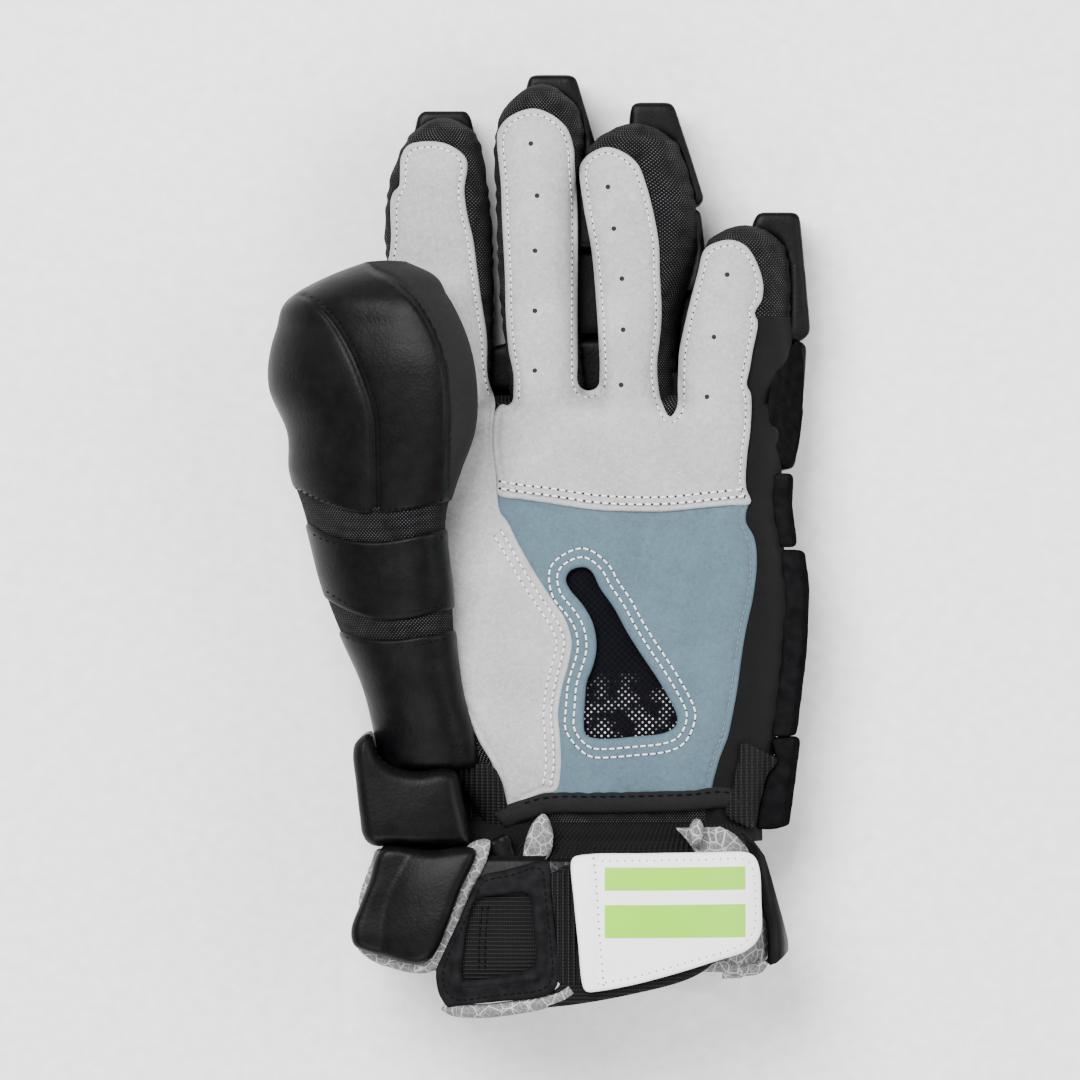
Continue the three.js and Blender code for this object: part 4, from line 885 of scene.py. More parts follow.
def softened(name, node, material, voxel, rounds, puff):
    """Padded piece from a CAD solid: its mesh merged, remeshed in small cells, smoothed for
    some rounds and puffed out along its normals."""
    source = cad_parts[node]
    mesh = source.data.copy()
    mesh.transform(source.matrix_world)
    work = bmesh.new()
    work.from_mesh(mesh)
    bmesh.ops.remove_doubles(work, verts=work.verts, dist=1e-5)
    work.to_mesh(mesh)
    work.free()
    helper = bpy.data.objects.new(name + "_source", mesh)
    bpy.context.scene.collection.objects.link(helper)
    cells = helper.modifiers.new("Cells", "REMESH")
    cells.mode = "VOXEL"
    cells.voxel_size = voxel * MM
    soft = helper.modifiers.new("Smooth", "SMOOTH")
    soft.factor = 0.5
    soft.iterations = rounds
    lift = helper.modifiers.new("Puff", "DISPLACE")
    lift.mid_level = 0.0
    lift.strength = puff * MM
    graph = bpy.context.evaluated_depsgraph_get()
    final = bpy.data.meshes.new_from_object(helper.evaluated_get(graph))
    bpy.data.objects.remove(helper)
    final.name = name
    final.polygons.foreach_set("use_smooth", np.ones(len(final.polygons), dtype=bool))
    final.materials.clear()
    final.materials.append(material)
    made = bpy.data.objects.new(name, final)
    bpy.context.scene.collection.objects.link(made)
    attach(made, "root")
    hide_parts(node)
    return made


# Materials

def linear(r, g, b):
    """Linear colour from 8-bit sRGB values."""
    c = np.array([r, g, b]) / 255.0
    out = np.where(c <= 0.04045, c / 12.92, ((c + 0.055) / 1.055) ** 2.4)
    return (*out.tolist(), 1.0)


class Finish:
    """A node material under construction: a principled shader and the nodes that feed it."""

    def __init__(self, name, colour, roughness, **fixed):
        self.material = bpy.data.materials.new(name)
        self.material.use_nodes = True
        self.tree = self.material.node_tree
        self.shader = self.tree.nodes["Principled BSDF"]
        self.shader.inputs["Base Color"].default_value = colour
        self.shader.inputs["Roughness"].default_value = roughness
        for key, value in fixed.items():
            self.shader.inputs[key.replace("_", " ")].default_value = value
        self.place = self.tree.nodes.new("ShaderNodeTexCoord")

    def node(self, kind, **settings):
        made = self.tree.nodes.new(kind)
        for key, value in settings.items():
            setattr(made, key, value)
        return made

    def join(self, out, target):
        self.tree.links.new(out, target)

    def noise(self, scale, detail=3.0, rough=0.5, distortion=0.0, coords="Object"):
        made = self.node("ShaderNodeTexNoise")
        made.inputs["Scale"].default_value = scale
        made.inputs["Detail"].default_value = detail
        made.inputs["Roughness"].default_value = rough
        made.inputs["Distortion"].default_value = distortion
        self.join(self.place.outputs[coords], made.inputs["Vector"])
        return made.outputs["Fac"]

    def maths(self, operation, a, b=None, clamp=False):
        made = self.node("ShaderNodeMath", operation=operation, use_clamp=clamp)
        for socket, value in zip(made.inputs, (a, b)):
            if value is None:
                continue
            if isinstance(value, (int, float)):
                socket.default_value = value
            else:
                self.join(value, socket)
        return made.outputs[0]

    def ramp(self, value, low, high, a=0.0, b=1.0):
        made = self.node("ShaderNodeMapRange", clamp=True)
        made.inputs["From Min"].default_value = low
        made.inputs["From Max"].default_value = high
        made.inputs["To Min"].default_value = a
        made.inputs["To Max"].default_value = b
        self.join(value, made.inputs["Value"])
        return made.outputs["Result"]

    def mix(self, amount, a, b):
        made = self.node("ShaderNodeMix", data_type="RGBA")
        for socket, value in ((made.inputs[0], amount), (made.inputs[6], a), (made.inputs[7], b)):
            if isinstance(value, (tuple, float)):
                socket.default_value = value
            else:
                self.join(value, socket)
        return made.outputs[2]

    def coords(self, kind="UV"):
        made = self.node("ShaderNodeSeparateXYZ")
        self.join(self.place.outputs[kind], made.inputs[0])
        return made.outputs

    def colour(self, out):
        self.join(out, self.shader.inputs["Base Color"])

    def roughness(self, out):
        self.join(out, self.shader.inputs["Roughness"])

    def bump(self, height, distance, strength=1.0):
        made = self.node("ShaderNodeBump")
        made.inputs["Distance"].default_value = distance
        made.inputs["Strength"].default_value = strength
        self.join(height, made.inputs["Height"])
        self.join(made.outputs[0], self.shader.inputs["Normal"])


def shade_of(colour, by, more=0.0):
    """The colour times by, plus more, no brighter than white."""
    return tuple(min(v * by + more, 1.0) for v in colour[:3]) + (1.0,)


def suede(name, colour, contrast=0.10, sheen=0.05):
    """Napped leather: short crinkled grain, cloudy shading and a fine matt bump."""
    f = Finish(name, colour, 0.95, Sheen_Weight=sheen, Sheen_Roughness=0.6,
               Specular_IOR_Level=0.1)
    grain = f.noise(620.0, 4.0, 0.65, 1.1)
    cloud = f.noise(55.0, 3.0, 0.55)
    shade = f.maths("ADD", f.ramp(grain, 0.3, 0.7, -contrast, contrast),
                    f.ramp(cloud, 0.3, 0.7, -0.09, 0.09))
    amount = f.maths("ADD", shade, 0.5, clamp=True)
    f.colour(f.mix(amount, shade_of(colour, 0.5), shade_of(colour, 1.5)))
    f.bump(f.maths("ADD", grain, f.maths("MULTIPLY", f.noise(180.0, 2.0), 1.2)), 0.00035, 0.55)
    return f.material


def leather(name, colour, rough=0.42, grain=900.0, depth=0.00012, gloss=0.09):
    """Smooth coated leather: pebble grain from cells and noise, wear in the roughness."""
    f = Finish(name, colour, rough, Specular_IOR_Level=gloss)
    cells = f.node("ShaderNodeTexVoronoi", feature="SMOOTH_F1")
    cells.inputs["Scale"].default_value = grain
    f.join(f.place.outputs["Object"], cells.inputs["Vector"])
    fine = f.noise(2100.0, 3.0)
    cloud = f.noise(70.0, 3.0)
    f.roughness(f.ramp(cloud, 0.3, 0.7, rough - 0.05, rough + 0.08))
    light = shade_of(colour, 1.7, 0.001)
    f.colour(f.mix(f.ramp(f.noise(240.0, 4.0), 0.35, 0.75), colour, light))
    f.bump(f.maths("ADD", cells.outputs["Distance"], f.maths("MULTIPLY", fine, 0.6)), depth, 0.5)
    return f.material


def woven(name, dark, light, pitch, amount=0.5, tall=1.0):
    """Woven mesh: light specks of painted highlight where crossed threads rise, on a grid of that
    pitch in UV.
    """
    f = Finish(name, dark, 0.85, Specular_IOR_Level=0.12)
    u, v, _ = f.coords()
    k = 2 * np.pi / pitch
    first = f.maths("SINE", f.maths("MULTIPLY", u, k))
    second = f.maths("SINE", f.maths("MULTIPLY", v, k / tall))
    weave = f.maths("MULTIPLY", first, second)
    patchy = f.ramp(f.noise(160.0, 4.0, 0.6), 0.2, 0.6)
    # Painted highlight: the light colour goes on the tops of the crossed threads.
    painted_highlight = f.maths("MULTIPLY", f.ramp(weave, 0.45, 0.8), f.maths("MULTIPLY", patchy, amount))
    f.colour(f.mix(painted_highlight, dark, light))
    f.bump(f.maths("ABSOLUTE", weave), 0.0003, 0.8)
    return f.material


def ribbed(name, dark, light, pitch, along="u", rough=0.75):
    """Ribbed webbing or elastic: ridges of that pitch in UV, with short threads across, and
    painted highlight on their crests.
    """
    f = Finish(name, dark, rough, Specular_IOR_Level=0.15)
    u, v, _ = f.coords()
    first, second = (u, v) if along == "u" else (v, u)
    ridge = f.maths("SINE", f.maths("MULTIPLY", first, 2 * np.pi / pitch))
    thread = f.maths("SINE", f.maths("MULTIPLY", second, 2 * np.pi / (0.6 * pitch)))
    shape = f.maths("ADD", ridge, f.maths("MULTIPLY", thread, 0.35))
    # Painted highlight: the colour turns light on the crests of the ridges and threads.
    f.colour(f.mix(f.ramp(shape, 0.5, 1.3), dark, light))
    f.bump(shape, 0.0003, 0.9)
    return f.material


def crackle(name):
    """Satin lining: grey with a net of thin white lines round uneven cells."""
    f = Finish(name, linear(128, 128, 130), 0.6, Specular_IOR_Level=0.25)
    lines = []
    for scale in (230.0, 520.0):
        cells = f.node("ShaderNodeTexVoronoi", feature="DISTANCE_TO_EDGE")
        cells.inputs["Scale"].default_value = scale
        f.join(f.place.outputs["Object"], cells.inputs["Vector"])
        lines.append(f.ramp(cells.outputs["Distance"], 0.01, 0.05, 1.0, 0.0))
    line = f.maths("MAXIMUM", lines[0], f.maths("MULTIPLY", lines[1], 0.5))
    f.colour(f.mix(line, linear(92, 92, 94), linear(176, 176, 176)))
    f.bump(line, 0.00015, 0.5)
    return f.material


def net(name):
    """Open net over a dark ground: diagonal threads, with light holes low in the window."""
    f = Finish(name, linear(5, 5, 8), 0.8, Specular_IOR_Level=0.06)
    u, v, _ = f.coords()
    a = f.maths("ADD", u, v)
    b = f.maths("SUBTRACT", u, v)
    k = np.pi / 2.4
    first = f.maths("SINE", f.maths("MULTIPLY", a, k))
    second = f.maths("SINE", f.maths("MULTIPLY", b, k))
    thread = f.ramp(f.maths("MINIMUM", f.maths("ABSOLUTE", first), f.maths("ABSOLUTE", second)),
                    0.0, 0.22, 1.0, 0.0)
    hole = f.ramp(f.maths("MULTIPLY", f.maths("ABSOLUTE", first), f.maths("ABSOLUTE", second)),
                  0.72, 0.9)
    low = f.ramp(v, -66.0, -46.0, 1.0, 0.0)
    patchy = f.ramp(f.noise(150.0, 3.0), 0.46, 0.64)
    spots = f.maths("MULTIPLY", hole, f.maths("MULTIPLY", low, patchy))
    shade = f.mix(f.maths("MULTIPLY", thread, 0.5), linear(3, 3, 6), linear(44, 46, 56))
    f.colour(f.mix(spots, shade, linear(225, 226, 230)))
    f.bump(f.maths("ADD", thread, f.noise(300.0)), 0.0004, 0.8)
    return f.material


def tab_face(name):
    """White pull tab with two plain lime bars of unequal height and a bare band between."""
    f = Finish(name, linear(240, 240, 240), 0.42, Specular_IOR_Level=0.4)
    u, v, _ = f.coords()

    def band(value, low, high, soft=0.12):
        rise = f.ramp(value, low - soft, low + soft)
        fall = f.ramp(value, high - soft, high + soft, 1.0, 0.0)
        return f.maths("MULTIPLY", rise, fall)

    across = band(u, 22.5, 71.8)
    upper = band(v, -121.8, -113.7)
    lower = band(v, -138.3, -126.7)
    bars = f.maths("MULTIPLY", across, f.maths("ADD", upper, lower))
    f.colour(f.mix(bars, linear(243, 243, 243), linear(132, 206, 0)))
    f.bump(f.maths("ADD", f.maths("MULTIPLY", bars, 0.6), f.noise(500.0)), 0.00012, 0.5)
    return f.material


def plain(name, colour, rough, scale=1500.0, depth=0.0001, **fixed):
    """Thread, moulding or floor: one colour with fine noise in shade and bump."""
    f = Finish(name, colour, rough, **fixed)
    fine = f.noise(scale, 3.0)
    f.colour(f.mix(fine, shade_of(colour, 0.8), shade_of(colour, 1.2)))
    f.bump(fine, depth, 0.4)
    return f.material


LOOKS = {}


def make_looks():
    """Fills LOOKS with the materials of the glove."""
    LOOKS["pale"] = suede("pale_suede", linear(158, 158, 158), 0.18)
    LOOKS["blue"] = suede("blue_suede", linear(75, 94, 105), 0.17)
    LOOKS["dark_suede"] = suede("dark_suede", linear(24, 24, 25), 0.16, 0.02)
    LOOKS["side_suede"] = suede("side_suede", linear(14, 14, 15), 0.14, 0.02)
    LOOKS["leather"] = leather("black_leather", linear(5, 5, 6))
    LOOKS["matt"] = leather("matt_leather", linear(13, 13, 14), 0.8, gloss=0.0)
    # The second colour of each woven or ribbed cloth is its painted highlight on risen threads and
    # rib crests.
    LOOKS["mesh"] = woven("black_mesh", linear(3, 3, 4), linear(104, 104, 106), 1.25, 0.75)
    LOOKS["band"] = woven("band_mesh", linear(3, 3, 4), linear(92, 92, 94), 1.25, 0.7)
    LOOKS["knit"] = ribbed("black_knit", linear(8, 8, 9), linear(24, 24, 25), 1.6)
    LOOKS["elastic"] = ribbed("black_elastic", linear(8, 8, 9), linear(36, 36, 38), 1.9)
    LOOKS["webbing"] = ribbed("black_webbing", linear(9, 9, 10), linear(38, 38, 40), 1.4, "v")
    LOOKS["lining"] = crackle("lining")
    LOOKS["net"] = net("heel_net")
    LOOKS["moulded"] = leather("moulded", linear(20, 20, 21), 0.7, 500.0, 0.0001, 0.0)
    LOOKS["tab"] = tab_face("white_tab")
    LOOKS["thread_white"] = plain("thread_white", linear(232, 232, 230), 0.7)
    LOOKS["thread_black"] = plain("thread_black", linear(12, 12, 12), 0.8, Specular_IOR_Level=0.04)
    # Painted shade: the next two are the dark and grey colours of dots that stand for the shade
    # inside needle holes and perforations; the grey one is also the thread along the heel's edge.
    LOOKS["hole"] = plain("hole", linear(14, 14, 16), 0.9)
    LOOKS["grey_thread_and_hole_shade"] = plain("grey_thread_and_hole_shade", linear(112, 112, 112), 0.9)


# Pieces of the hand

def hand_shell():
    """Back and sides of the hand: the palm tube as a shell 2.2 mm thick, open at the wrist."""
    table = np.asarray(PALM)
    ring = angles(120, PALM_POWER, PALM_FLATNESS)
    y = np.linspace(table[0, 0] + 14.0, table[-1, 0] - 0.2, 84)[:, None]
    bare = tube_point(PALM, y, ring[None, :], -0.5, PALM_POWER, PALM_LEAN, PALM_FRONT)
    sunk = LEATHER_SINK * under_leather(bare) * (bare[..., 2] > table_at(PALM, y)[2] + 1.0)
    outer, inner = (
        tube_point(PALM, y, ring[None, :], grow - sunk, PALM_POWER, PALM_LEAN, PALM_FRONT)
        for grow in (-0.5, -2.7))
    k = np.linspace(0.0, 1.0, 9)[1:, None, None]
    closing = outer[-1:] * (1 - 0.97 * k) + outer[-1:].mean(axis=1, keepdims=True) * 0.97 * k
    run = np.cumsum(np.linalg.norm(np.diff(outer[40], axis=0, prepend=outer[40][:1]), axis=1))
    outer = np.concatenate([outer, closing])
    inner_close = inner[-1:] * (1 - 0.97 * k) + inner[-1:].mean(axis=1, keepdims=True) * 0.97 * k
    inner_close[..., 1] -= 2.2
    inner = np.concatenate([inner, inner_close])
    uv = np.stack([np.broadcast_to(run, outer.shape[:2]), outer[..., 1]], axis=-1)
    return thick_part(outer, inner, uv, around=True)


def finger_part(name):
    """One finger: its tube as a closed soft surface, with faint creases across its sides."""
    table, lean = FINGERS[name]
    rows = np.asarray(table)
    y = np.linspace(rows[0, 0] + 6.0, rows[-1, 0], 110)[:, None]
    ring = angles(72, FINGER_POWER, 1.0)[None, :]
    crease = 0.25 * np.sin(y * 0.9 + 1.5 * np.sin(y * 0.31) + 2.0 * np.cos(ring))
    points = tube_point(table, y, ring, crease - 0.3, FINGER_POWER, (lean, lean), FINGER_FRONT)
    sunk = LEATHER_SINK * under_leather(points) * (points[..., 2] > table_at(table, y)[2] + 1.0)
    points = tube_point(table, y, ring, crease - 0.3 - sunk, FINGER_POWER, (lean, lean),
                        FINGER_FRONT)
    tip = points[-1:]
    k = np.array([0.5, 0.85, 0.97])[:, None, None]
    cap = tip * (1 - k) + tip.mean(axis=1, keepdims=True) * k
    cap[..., 1] += 1.6 * np.sqrt(k[..., 0])
    points = np.concatenate([points, cap])
    run = np.linspace(0.0, 84.0, 72)
    along = points[..., 1] + np.concatenate([np.zeros(len(points) - 3), 7.0 * k.ravel()])[:, None]
    uv = np.stack([np.broadcast_to(run, points.shape[:2]), along], axis=-1)
    return grid_part(points, uv, True, True)


def covered_by(plan, outlines):
    """How far plan points lie inside any of the outlines: 0 outside and at the edge, 1 from
    1.4 mm in."""
    covered = np.zeros(len(plan))
    for outline in outlines:
        loop = curve(outline, 1.3)
        covered = np.maximum(covered, inside(plan, loop) * np.clip(away(plan, loop) / 1.4, 0, 1))
    return covered


def under_leather(points):
    """How far points lie under the front leathers or the side panel, from 0 to 1."""
    plan = points[..., :2].reshape(-1, 2)
    covered = covered_by(plan, (PALM_OUTLINE, THENAR_OUTLINE, HEEL_OUTLINE))
    beside = (plan[:, 0] > front_edge(plan[:, 1]) - 1.5) & (plan[:, 1] < 77.5)
    return np.maximum(covered, beside).reshape(points.shape[:-1])


def front_edge(y):
    """x of the right-hand edge of the front leathers at y."""
    rows = np.asarray(FRONT_EDGE)
    return np.interp(y, rows[::-1, 1], rows[::-1, 0])


def side_part():
    """Black suede on the little finger side: patches of the palm's and the little finger's
    tubes, lifted and creased outside the front leathers and sunk under them."""
    made = []
    table, lean = FINGERS["little"]
    for y0, y1, count, form, body, tilt, front in (
            (-105.9, 59.5, 130, PALM_POWER, PALM, PALM_LEAN, PALM_FRONT),
            (42.6, 79.2, 50, FINGER_POWER, table, (lean, lean), FINGER_FRONT)):
        y = np.linspace(y0, y1, count)[:, None]
        ratio = PALM_FLATNESS if body is PALM else 1.0
        ring = angles(60, form, ratio, -1.1, 1.5)[None, :]
        bare = tube_point(body, y, ring, 0.0, form, tilt, front)
        t = np.clip((bare[..., 0] - front_edge(y)) / 2.0, 0.0, 1.0)
        fold = 0.45 * waves(y * 1.5, bare[..., 2] * 2.0, 2.0) + 0.2 * np.sin(y * 0.7)
        sink = LEATHER_SINK * np.clip((front_edge(y) - 3.0 - bare[..., 0]) / 5.0, 0.0, 1.0)
        outer = tube_point(body, y, ring, -1.3 - sink + (1.7 + fold) * t, form, tilt, front)
        inner = tube_point(body, y, ring, -2.2 - sink, form, tilt, front)
        uv = np.stack(np.broadcast_arrays(ring * 30.0, y), axis=-1)
        made.append(thick_part(outer, inner, uv))
    return made


def wrist_tube():
    """Ribbed band from the hand's end into the cuff: rings blended between their two tubes."""
    ring = angles(110, PALM_POWER, 0.35)[None, :]
    start = tube_point(PALM, np.array([[WRISTBAND_TOP]]), ring, -3.4, PALM_POWER, PALM_LEAN,
                       PALM_FRONT)
    end = tube_point(CUFF, np.array([[WRISTBAND_FOOT]]), ring, -9.2, CUFF_POWER)
    k = np.linspace(0.0, 1.0, 26)[:, None, None]
    soft = k * k * (3 - 2 * k)
    rows = start * (1 - soft) + end * soft
    rows[..., 1] = WRISTBAND_TOP * (1 - k[..., 0]) + WRISTBAND_FOOT * k[..., 0]
    rows[..., 2] += 0.5 * np.sin(k[..., 0] * 22.0)
    inner = rows.copy()
    middle = rows.mean(axis=1, keepdims=True)
    inner[..., [0, 2]] += (middle - rows)[..., [0, 2]] * 0.035
    run = np.cumsum(np.linalg.norm(np.diff(rows[10], axis=0, prepend=rows[10][:1]), axis=1))
    uv = np.stack([np.broadcast_to(run, rows.shape[:2]), rows[..., 1]], axis=-1)
    return thick_part(rows, inner, uv, around=True)


# Front leathers

def panel_height(lift, rim, drop, wrinkle=0.35, seed=0.0):
    """Height of a front leather: the hand's front, lifted; its rim rolled, a sewn groove 2 mm in,
    a puckered rise beyond it to a padded, waved field."""
    def height(x, y, edge):
        soft = np.clip((edge - 2.0) / 5.0, 0.0, 1.0)
        crease = 0.9 * np.exp(-(away(np.column_stack([x, y]), FOLD, False) / 1.8) ** 2)
        seam = -0.6 * np.exp(-((edge - 2.0) / 0.55) ** 2)
        crown = 0.8 * (1 - np.exp(-np.clip(edge - 2.0, 0.0, None) / 2.6))
        pucker = 0.24 * np.sin(2.4 * y + 1.1 * x) * np.exp(-((edge - 3.6) / 1.7) ** 2)
        return (hand_height(x, y) + lift - roll(edge, rim, drop) + seam + crown + pucker
                + 1.6 * wrinkle * soft * waves(x, y, seed) - crease * soft)
    return height


def inland(surface):
    """The same height as if well inside the rim."""
    return lambda x, y: surface(x, y, np.full(np.shape(x), INLAND))


def on_top(surface, loops):
    """The same height at the true distance from the rims."""
    def top(x, y):
        plan = np.column_stack([x, y])
        return surface(x, y, np.min([away(plan, loop) for loop in loops], axis=0))
    return top


FOLD = curve(PALM_FOLD, 1.5, False)


RELIEF_RINGS = (2.0, 2.7, 3.6)


def edge_stitches(line, top):
    """Thread sunk in the groove along a leather's edge, with a dark dot of painted shade at each
    end for its hole.
    """
    path = curve(line, 1.0, False)
    return [stitch_part(path, top, pitch=2.4, length=1.7, width=0.5, lift=0.1, material=1),
            dot_part(even(path, 2.4), top, 0.4, 2, 0.5)]


def palm_parts():
    """Pale leather of the upper palm, middle, ring and little fingers, with its stitching."""
    loop = curve(PALM_OUTLINE, 1.3)
    surface = panel_height(1.5, 1.3, 1.3)
    top = on_top(surface, [loop])
    parts = [cut_part([loop], 1.7, surface, 1.5, rim=1.3, rings_at=RELIEF_RINGS)]
    parts += edge_stitches(FINGER_STITCHES["middle"], top)
    for line in UPPER_STITCHES:
        path = curve(line, 1.0, False)
        parts.append(stitch_part(path, top, pitch=3.0, length=2.0, width=0.85, lift=0.22))
        knots = even(path, 3.0)
        # Dark dots of painted shade at the needle holes of this stitching.
        parts.append(dot_part(knots, top, 0.45, 2, 0.5))
    # Dark dots of painted shade inside the punched perforations.
    parts.append(dot_part(PERFORATIONS, top, 0.92, 2, 0.3))
    return parts


def thenar_parts():
    """Pale leather of the index finger and the base of the thumb, with its stitching."""
    loop = curve(THENAR_OUTLINE, 1.3)
    surface = panel_height(1.15, 1.3, 1.3, 0.4, 1.4)
    top = on_top(surface, [loop])
    parts = [cut_part([loop], 1.7, surface, 1.4, rim=1.3, rings_at=RELIEF_RINGS)]
    parts += edge_stitches(FINGER_STITCHES["index"], top)
    for line in THENAR_STITCHES:
        path = curve(line, 1.0, False)
        parts.append(stitch_part(path, top, pitch=2.6, length=1.8, width=0.7, lift=0.15))
        # Grey dots of painted shade at the needle holes of this stitching.
        parts.append(dot_part(even(path, 2.6), top, 0.38, 3, 0.5))
    return parts


def heel_parts():
    """Blue leather of the heel round the window, stitched twice round it in white."""
    loop = curve(HEEL_OUTLINE, 1.4)
    hole = curve(WINDOW, 1.2)
    base = panel_height(0.45, 1.3, 1.3, 0.3, 2.2)

    def surface(x, y, edge):
        gap = away(np.column_stack([x, y]), hole)
        welt = 0.55 * np.exp(-((gap - 2.0) / 1.8) ** 2) + 0.35 * np.exp(-((gap - 5.1) / 1.2) ** 2)
        plan = np.column_stack([x, y])
        hidden = 1.7 * covered_by(plan, (PALM_OUTLINE, THENAR_OUTLINE))
        return base(x, y, away(plan, loop)) + welt - roll(gap, 1.2, 1.1) - hidden

    top = on_top(surface, [loop, hole])
    parts = [cut_part([loop, hole], 1.5, surface, 1.4, rim=1.2, rings_at=RELIEF_RINGS)]
    for reach in (3.5, 6.5):
        path = curve(grown(hole, reach)[::4], 1.0)
        parts.append(stitch_part(path, top, True, pitch=2.75, length=2.1, width=0.7, lift=0.25))
        # Dark dots of painted shade at the needle holes of this stitching.
        parts.append(dot_part(even(path, 2.75, True), top, 0.32, 2, 0.5))
    edge = curve(HEEL_EDGE_STITCHES, 1.0, False)
    parts.append(stitch_part(edge, top, pitch=2.2, length=1.4, width=0.5, lift=0.05, material=3))
    return parts


def hem_parts():
    """Rough black binding along the palm's lower edge, with dashes along its upper side."""
    line = curve(HEM_LINE, 1.5, False)
    x, y = line.T
    z = hand_height(x, np.clip(y, BINDING_END, None)) + 0.2 + 0.25 * waves(x * 3.0, y * 3.0)
    path = np.column_stack([line, z])

    def top(x, y):
        return hand_height(x, np.clip(y, BINDING_END, None)) + 2.55

    upper = grown_line(line, 2.1)
    return [carried_part(path, oval(7.4, 5.0, 18)),
            stitch_part(upper[6:], top, pitch=3.4, length=2.0, width=0.6, lift=0.0)]


def grown_line(line, distance):
    """Open line moved to its left by a distance."""
    ahead = np.gradient(line, axis=0)
    ahead = ahead / np.linalg.norm(ahead, axis=1, keepdims=True)
    return line + distance * np.stack([-ahead[:, 1], ahead[:, 0]], axis=1)


# Thumb

def across_line(line, x):
    """y of a line across the thumb at x."""
    rows = np.asarray(line)
    dense = curve(rows, 1.0, False)
    return np.interp(x, dense[:, 0], dense[:, 1])


def thumb_surface(low, high, grow, ends, rows=70, count=150, gap=0.3):
    """Part of the thumb's tube between two lines across it. ends are the radii by which its
    lower and upper borders roll in; high may be a y for the closed tip."""
    ring = angles(count, THUMB_POWER, THUMB_FLATNESS)[None, :]
    k = np.linspace(0.0, 1.0, rows)[:, None]
    tip = not hasattr(high, "__len__")
    share = 1 - (1 - k) ** 1.6 if tip else k
    y = np.full((rows, count), float(np.mean(np.asarray(low)[:, 1])))
    for _ in range(6):
        point = tube_point(THUMB, y, ring, 0.0, THUMB_POWER)
        bottom = across_line(low, point[..., 0]) - gap
        top = high if tip else across_line(high, point[..., 0]) + gap
        y = bottom + (top - bottom) * share
    span = top - bottom
    below = share * span
    above = (1 - share) * span
    inset = roll(below, ends[0]) if ends[0] else 0.0
    if ends[1]:
        inset = inset + roll(above, ends[1])
    return tube_point(THUMB, y, ring, grow - inset, THUMB_POWER), below


def thumb_cap_part():
    """Padded cap of the thumb in one surface: a grooved seam between its two pads, a deep
    groove at its rim and a flat suede strip beyond it."""
    points, _ = thumb_surface(CAP_LOW, THUMB_TIP, 0.0, (2.0, 0.0), 130, 200)
    seam = curve(CAP_SEAM, 1.0, False)
    rim = curve(CAP_RIM, 1.0, False)
    plan = points[..., :2].reshape(-1, 2)
    shape = points.shape[:2]
    middle = table_at(THUMB, points[..., 1])[2]
    front = np.clip((points[..., 2] - middle) / 6.0, 0.0, 1.0)
    seam_gap = away(plan, seam, False).reshape(shape)
    rim_gap = away(plan, rim, False).reshape(shape)
    edge_x = np.interp(points[..., 1], rim[::-1, 1], rim[::-1, 0])
    beyond = np.clip((points[..., 0] - edge_x) / 1.6, 0.0, 1.0)
    top_y = rim[:, 1].max()
    beyond = beyond * (points[..., 1] < top_y + 4.0)
    depth = 1.3 * np.exp(-(seam_gap / 0.9) ** 2) + 0.45 * np.exp(-(seam_gap / 3.0) ** 2)
    depth = depth + 2.2 * np.exp(-(rim_gap / 1.1) ** 2) + 1.5 * beyond
    points[..., 2] -= depth * front
    points[..., 2] += 0.2 * waves(points[..., 0], points[..., 1], 3.0) * front
    cap = points[-1:].mean(axis=1, keepdims=True)
    k = np.array([0.4, 0.75, 0.95])[:, None, None]
    closing = points[-1:] * (1 - k) + cap * k
    closing[..., 1] += 0.5 * k[..., 0]
    points = np.concatenate([points, closing])
    flat, faces, uv, _ = grid_part(points, None, True, True)
    quads = faces[0]
    centre = flat[quads].mean(axis=1)
    limit = np.interp(centre[:, 1], rim[::-1, 1], rim[::-1, 0])
    suede_side = (centre[:, 0] > limit + 0.3) & (centre[:, 1] < top_y + 1.0)
    groups = [quads[~suede_side], quads[suede_side], faces[1], faces[2]]
    return flat, groups, uv, (0, 1, 0, 0)


def thumb_front(x, y):
    """Front of the thumb, tilt and all."""
    found = table_at(THUMB, y)
    u = np.clip((x - found[0]) / found[1], -0.999, 0.999)
    v = (1 - np.abs(u) ** THUMB_POWER) ** (1 / THUMB_POWER)
    return found[2] + found[3] * v + found[4] * found[1] * u


